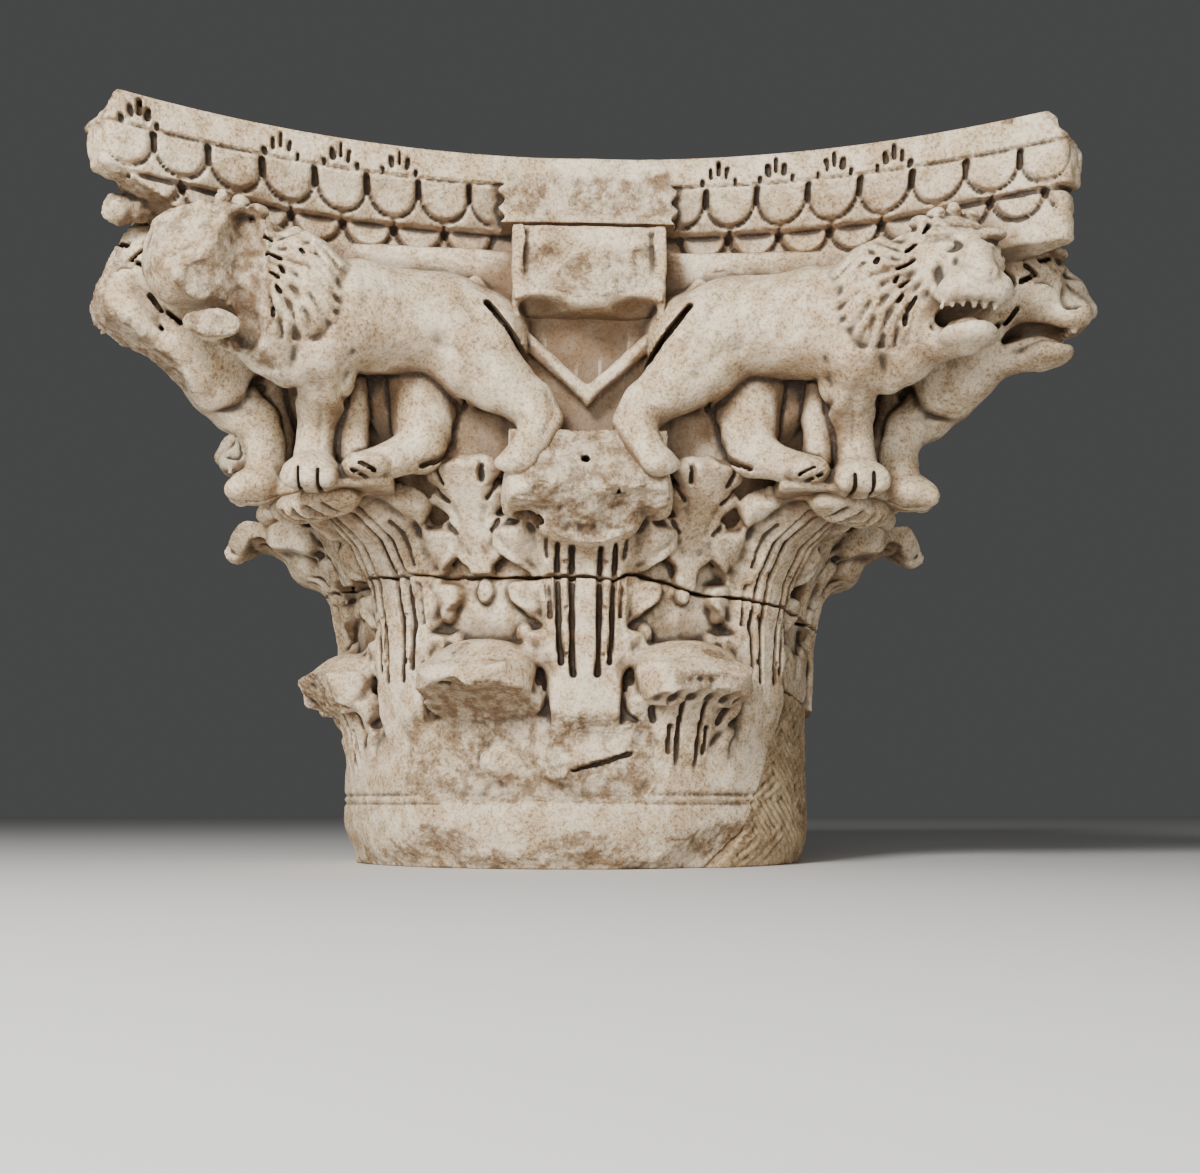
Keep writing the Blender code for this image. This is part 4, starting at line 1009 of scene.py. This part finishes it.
stump.lump((-0.095, -0.268, 0.12), (0.024, 0.012, 0.017), ease=0.01, rough=0.004, seed=91)
stump.lump((-0.034, -0.284, 0.118), (0.024, 0.01, 0.017), ease=0.01, rough=0.004, seed=93)
stump.lump((0.132, -0.362, 0.206), (0.07, 0.016, 0.014), turn=22, lean=18, cutting=True, rough=0.004, seed=92)
stump.knock((-0.318, -0.14, 0.2), (-1.0, -0.45, -0.55), (-0.42, -0.24, 0.15), (-0.26, -0.05, 0.27), 0.007, 94, 0.022)
for turn, up, back, slope, seed in (
    (-62, 0.01, 0.286, 0.9, 101), (-40, 0.022, 0.287, 0.7, 102), (-18, 0.008, 0.286, 1.1, 103),
    (-2, 0.018, 0.287, 0.8, 104), (16, 0.006, 0.286, 1.2, 105), (32, 0.024, 0.287, 0.6, 106),
    (120, 0.014, 0.286, 0.9, 107), (170, 0.02, 0.287, 0.8, 108), (-120, 0.018, 0.287, 0.8, 109),
):
    way = (math.sin(math.radians(turn)), -math.cos(math.radians(turn)))
    across, out = back * way[0], back * way[1]
    low, high = (across - 0.1, out - 0.1, -0.08), (across + 0.1, out + 0.1, 0.085)
    stump.knock((across, out, up), (*way, -slope), low, high, 0.006, seed, 0.035)
# the slanting ledge where the foot of the middle stem is broken, and the break round the fill
stump.drill([[(-0.012, 0.112), (0.02, 0.12), (0.052, 0.131)]], 0.0045, 0.006, (-0.4, -0.2))


def ledge(x, z):
    depth = -0.004 * rising(z - 0.115 - 0.3 * x, 0.0, 0.003) * rising(-z, -0.2, -0.14)
    return depth * rising(-np.abs(x - 0.02), -0.04, -0.03)


stump.front(ledge, (-0.03, -0.4, 0.1), (0.07, -0.2, 0.2))

# The fill: mortar in a notch at the lower right, flat behind and round outside. Its face is combed both ways with
# the teeth of a claw.
FILL_TURN = math.radians(66)
FILL_BACK = FOOT_RADIUS - 0.083
fill_line = [(-0.17, -0.03), (0.17, -0.03), (0.17, 0.182), (-0.055, 0.212)]
fill = Stone((0.0, -0.32, -0.01), (0.32, 0.12, 0.24))


def fill_room(x, y, z, ease):
    across = x * math.cos(FILL_TURN) + y * math.sin(FILL_TURN)
    out = x * math.sin(FILL_TURN) - y * math.cos(FILL_TURN)
    away = FILL_BACK - out - ease
    for (x0, z0), (x1, z1) in zip(fill_line, fill_line[1:] + fill_line[:1]):
        length = math.hypot(x1 - x0, z1 - z0)
        edge = ((across - x0) * (z1 - z0) - (z - z0) * (x1 - x0)) / length
        away = np.maximum(away, edge - ease)
    return away


spans, x, y, z = stump.room((0, -0.34, -0.02), (0.34, 0.14, 0.24))
stump.field[spans] = np.maximum(stump.field[spans], -fill_room(x, y, z, 0.0008))
halves(stump, "lower_stone_carving", 190000, 100000, "lower_stone")
spans, x, y, z = fill.room((0, -0.32, -0.01), (0.32, 0.12, 0.24))
radius = np.sqrt(x * x + y * y)
round_way = np.arctan2(x, -y) * 0.29
patches = roughness(round_way, z, 0 * z, 0.03, 9)
sway = 0.006 * roughness(round_way, z, 0 * z, 0.05, 13)
combed = 0.0026 * np.abs(np.sin((0.9 * round_way + z + sway) * 260)) ** 2 * rising(patches, -0.3, 0.1)
combed = combed + 0.0026 * np.abs(np.sin((0.6 * round_way - z + sway) * 240)) ** 2 * rising(-patches, -0.2, 0.2)
combed = combed + 0.0016 * (1 + roughness(x, y, z, 0.012, 11))
fill_face = FOOT_RADIUS + 0.016 * rising(z, -0.02, 0.04)
fill.field[:] = np.maximum(np.maximum(radius - fill_face + combed, fill_room(x, y, z, -0.0002)), -z)
fill_piece = dressed(fill, "fill", 90000, "repair_fill", 0.0004)

# The finish: white marble gone cream, with brown dirt and painted shade in the hollows and under overhangs, and a fine
# dark grain, and rougher and browner mortar for the fill.
# How shut in each point lies over a wide box a little way out from it, plus more for faces turned down: it drives
# painted shade together with dirt in recesses and under overhangs.
share = box_mean(all_stone, 3)
for piece in carved_pieces:
    places, normals = points_of(piece.data)
    outside = places + LOOK_OUT * normals
    shelter = piece.data.attributes.new("shelter", "FLOAT", "POINT")
    # faces turned down get more of it: painted shade, as if lit from above
    under = 0.2 * np.clip(-normals[:, 2], 0, 1)
    shelter.data.foreach_set("value", read_off(share, wide_low, WIDE_CELL, outside) + under)


class Signal:
    """A socket of a shader tree that can be reckoned with like a number."""

    def __init__(self, tree, socket):
        self.tree, self.socket = tree, socket

    def reckon(self, operation, a, b):
        return make_node(self.tree, "ShaderNodeMath", {"operation": operation}, {0: a, 1: b})

    def __add__(self, other):
        return self.reckon("ADD", self, other)

    def __mul__(self, other):
        return self.reckon("MULTIPLY", self, other)

    __radd__, __rmul__ = __add__, __mul__


def make_node(tree, kind, settings=None, inputs=None, output=0):
    """Any node: its settings first, then the values or links of its sockets. Gives one of its outputs."""
    node = tree.nodes.new(kind)
    for name, value in (settings or {}).items():
        if name == "stops":
            while len(node.color_ramp.elements) < len(value):
                node.color_ramp.elements.new(0.5)
            for stop, (place, colour) in zip(node.color_ramp.elements, value):
                stop.position = place
                stop.color = (*colour, 1.0)
        else:
            setattr(node, name, value)
    for name, value in (inputs or {}).items():
        if isinstance(value, Signal):
            tree.links.new(value.socket, node.inputs[name])
        else:
            node.inputs[name].default_value = value
    return Signal(tree, node.outputs[output])


def stone_finish(name, light, middle, brown, dark, rough, grain_strength):
    material = bpy.data.materials.new(name)
    material.use_nodes = True
    tree = material.node_tree
    shader = tree.nodes["Principled BSDF"]
    place = make_node(tree, "ShaderNodeTexCoord", output=3)
    hollow, shelter, broken = (
        make_node(tree, "ShaderNodeAttribute", {"attribute_name": measure}, output=2)
        for measure in ("hollow", "shelter", "broken")
    )

    def noise(scale, detail, roughness_share=0.6):
        inputs = {"Vector": place, "Scale": scale, "Detail": detail, "Roughness": roughness_share}
        return make_node(tree, "ShaderNodeTexNoise", {}, inputs)

    def ease(value, low, high):
        inputs = {0: value, 1: low, 2: high, 3: 0.0, 4: 1.0}
        return make_node(tree, "ShaderNodeMapRange", {"interpolation_type": "SMOOTHSTEP"}, inputs)

    def mix(share, a, b):
        node = tree.nodes.new("ShaderNodeMix")
        node.data_type = "RGBA"
        for number, value in ((0, share), (6, a), (7, b)):
            if isinstance(value, Signal):
                tree.links.new(value.socket, node.inputs[number])
            else:
                node.inputs[number].default_value = value if isinstance(value, float) else (*value, 1.0)
        return Signal(tree, node.outputs[2])

    cloud = noise(14.0, 5.0)
    streak = noise(55.0, 6.0, 0.7)
    grain = noise(260.0, 4.0, 0.85)
    patina = ease(cloud * 0.45 + streak * 0.55, 0.4, 0.6)
    # Near-black where the hollow measure is high: painted shade in closed recesses, together with dirt.
    closed = ease(hollow + streak * 0.08, 0.548, 0.685)
    # Brown in wide recesses and on faces turned down: painted shade together with dirt.
    deep = ease(shelter + cloud * 0.2 + streak * 0.12, 0.28, 0.62)
    colour = mix(patina * 0.75, light, middle)
    colour = mix(deep * 0.82, colour, brown)
    colour = mix(broken * (0.12 + 0.45 * ease(streak, 0.44, 0.6)), colour, brown)
    colour = mix(closed * 0.92, colour, dark)
    speck = ease(grain, 0.48, 0.6) * (0.38 + 0.38 * patina)
    colour = mix(speck, colour, brown)
    tree.links.new(colour.socket, shader.inputs["Base Color"])
    tree.links.new((rough + 0.12 * patina).socket, shader.inputs["Roughness"])
    height = grain * 0.35 + streak * 0.7 + noise(190.0, 4.0, 0.75) * (0.7 + 0.9 * broken)
    bump = make_node(tree, "ShaderNodeBump", {}, {"Height": height, "Strength": grain_strength, "Distance": 0.0022})
    tree.links.new(bump.socket, shader.inputs["Normal"])
    return material


def tint(*parts):
    """A colour as a screen shows it, in the plain values that a shader reckons with."""
    return tuple(((v / 255 + 0.055) / 1.055) ** 2.4 for v in parts)


# The last tint of each finish is the near-black of the painted shade and dirt in closed hollows.
marble = stone_finish("marble", tint(240, 221, 190), tint(192, 161, 118), tint(100, 70, 41), tint(20, 13, 8), 0.66, 1.0)
mortar = stone_finish("mortar", tint(208, 181, 142), tint(166, 136, 97), tint(84, 60, 38), tint(20, 14, 9), 0.82, 1.0)
for piece in carved_pieces:
    piece.data.materials.append(mortar if piece is fill_piece else marble)

# The studio: a plain pale floor, a soft key light at the upper left, a low one in front and a weak one at the right.
floor_mesh = bpy.data.meshes.new("floor")
floor_mesh.from_pydata([(-8, -6, 0), (8, -6, 0), (8, 8, 0), (-8, 8, 0)], [], [(0, 1, 2, 3)])
floor = bpy.data.objects.new("floor", floor_mesh)
bpy.context.scene.collection.objects.link(floor)
floor_finish = bpy.data.materials.new("floor")
floor_finish.use_nodes = True
floor_shader = floor_finish.node_tree.nodes["Principled BSDF"].inputs
floor_shader["Base Color"].default_value = (0.75, 0.74, 0.72, 1)
floor_shader["Roughness"].default_value = 0.9
floor_mesh.materials.append(floor_finish)
for name, place, size, power in (
    ("key", (-1.2, -2.6, 1.7), 0.7, 118.0),
    ("right", (2.4, -1.8, 1.2), 1.6, 3.0),
    ("front", (-0.4, -3.0, 0.4), 0.9, 33.0),
):
    lamp_data = bpy.data.lights.new(name, "AREA")
    lamp_data.energy = power
    lamp_data.size = size
    lamp = bpy.data.objects.new(name, lamp_data)
    lamp.location = place
    lamp.rotation_euler = (Vector((0, 0, 0.45)) - Vector(place)).to_track_quat("-Z", "Y").to_euler()
    bpy.context.scene.collection.objects.link(lamp)
world = bpy.data.worlds.new("studio")
bpy.context.scene.world = world
world.use_nodes = True
world.node_tree.nodes["Background"].inputs[0].default_value = (0.86, 0.87, 0.88, 1)
world.node_tree.nodes["Background"].inputs[1].default_value = 0.08
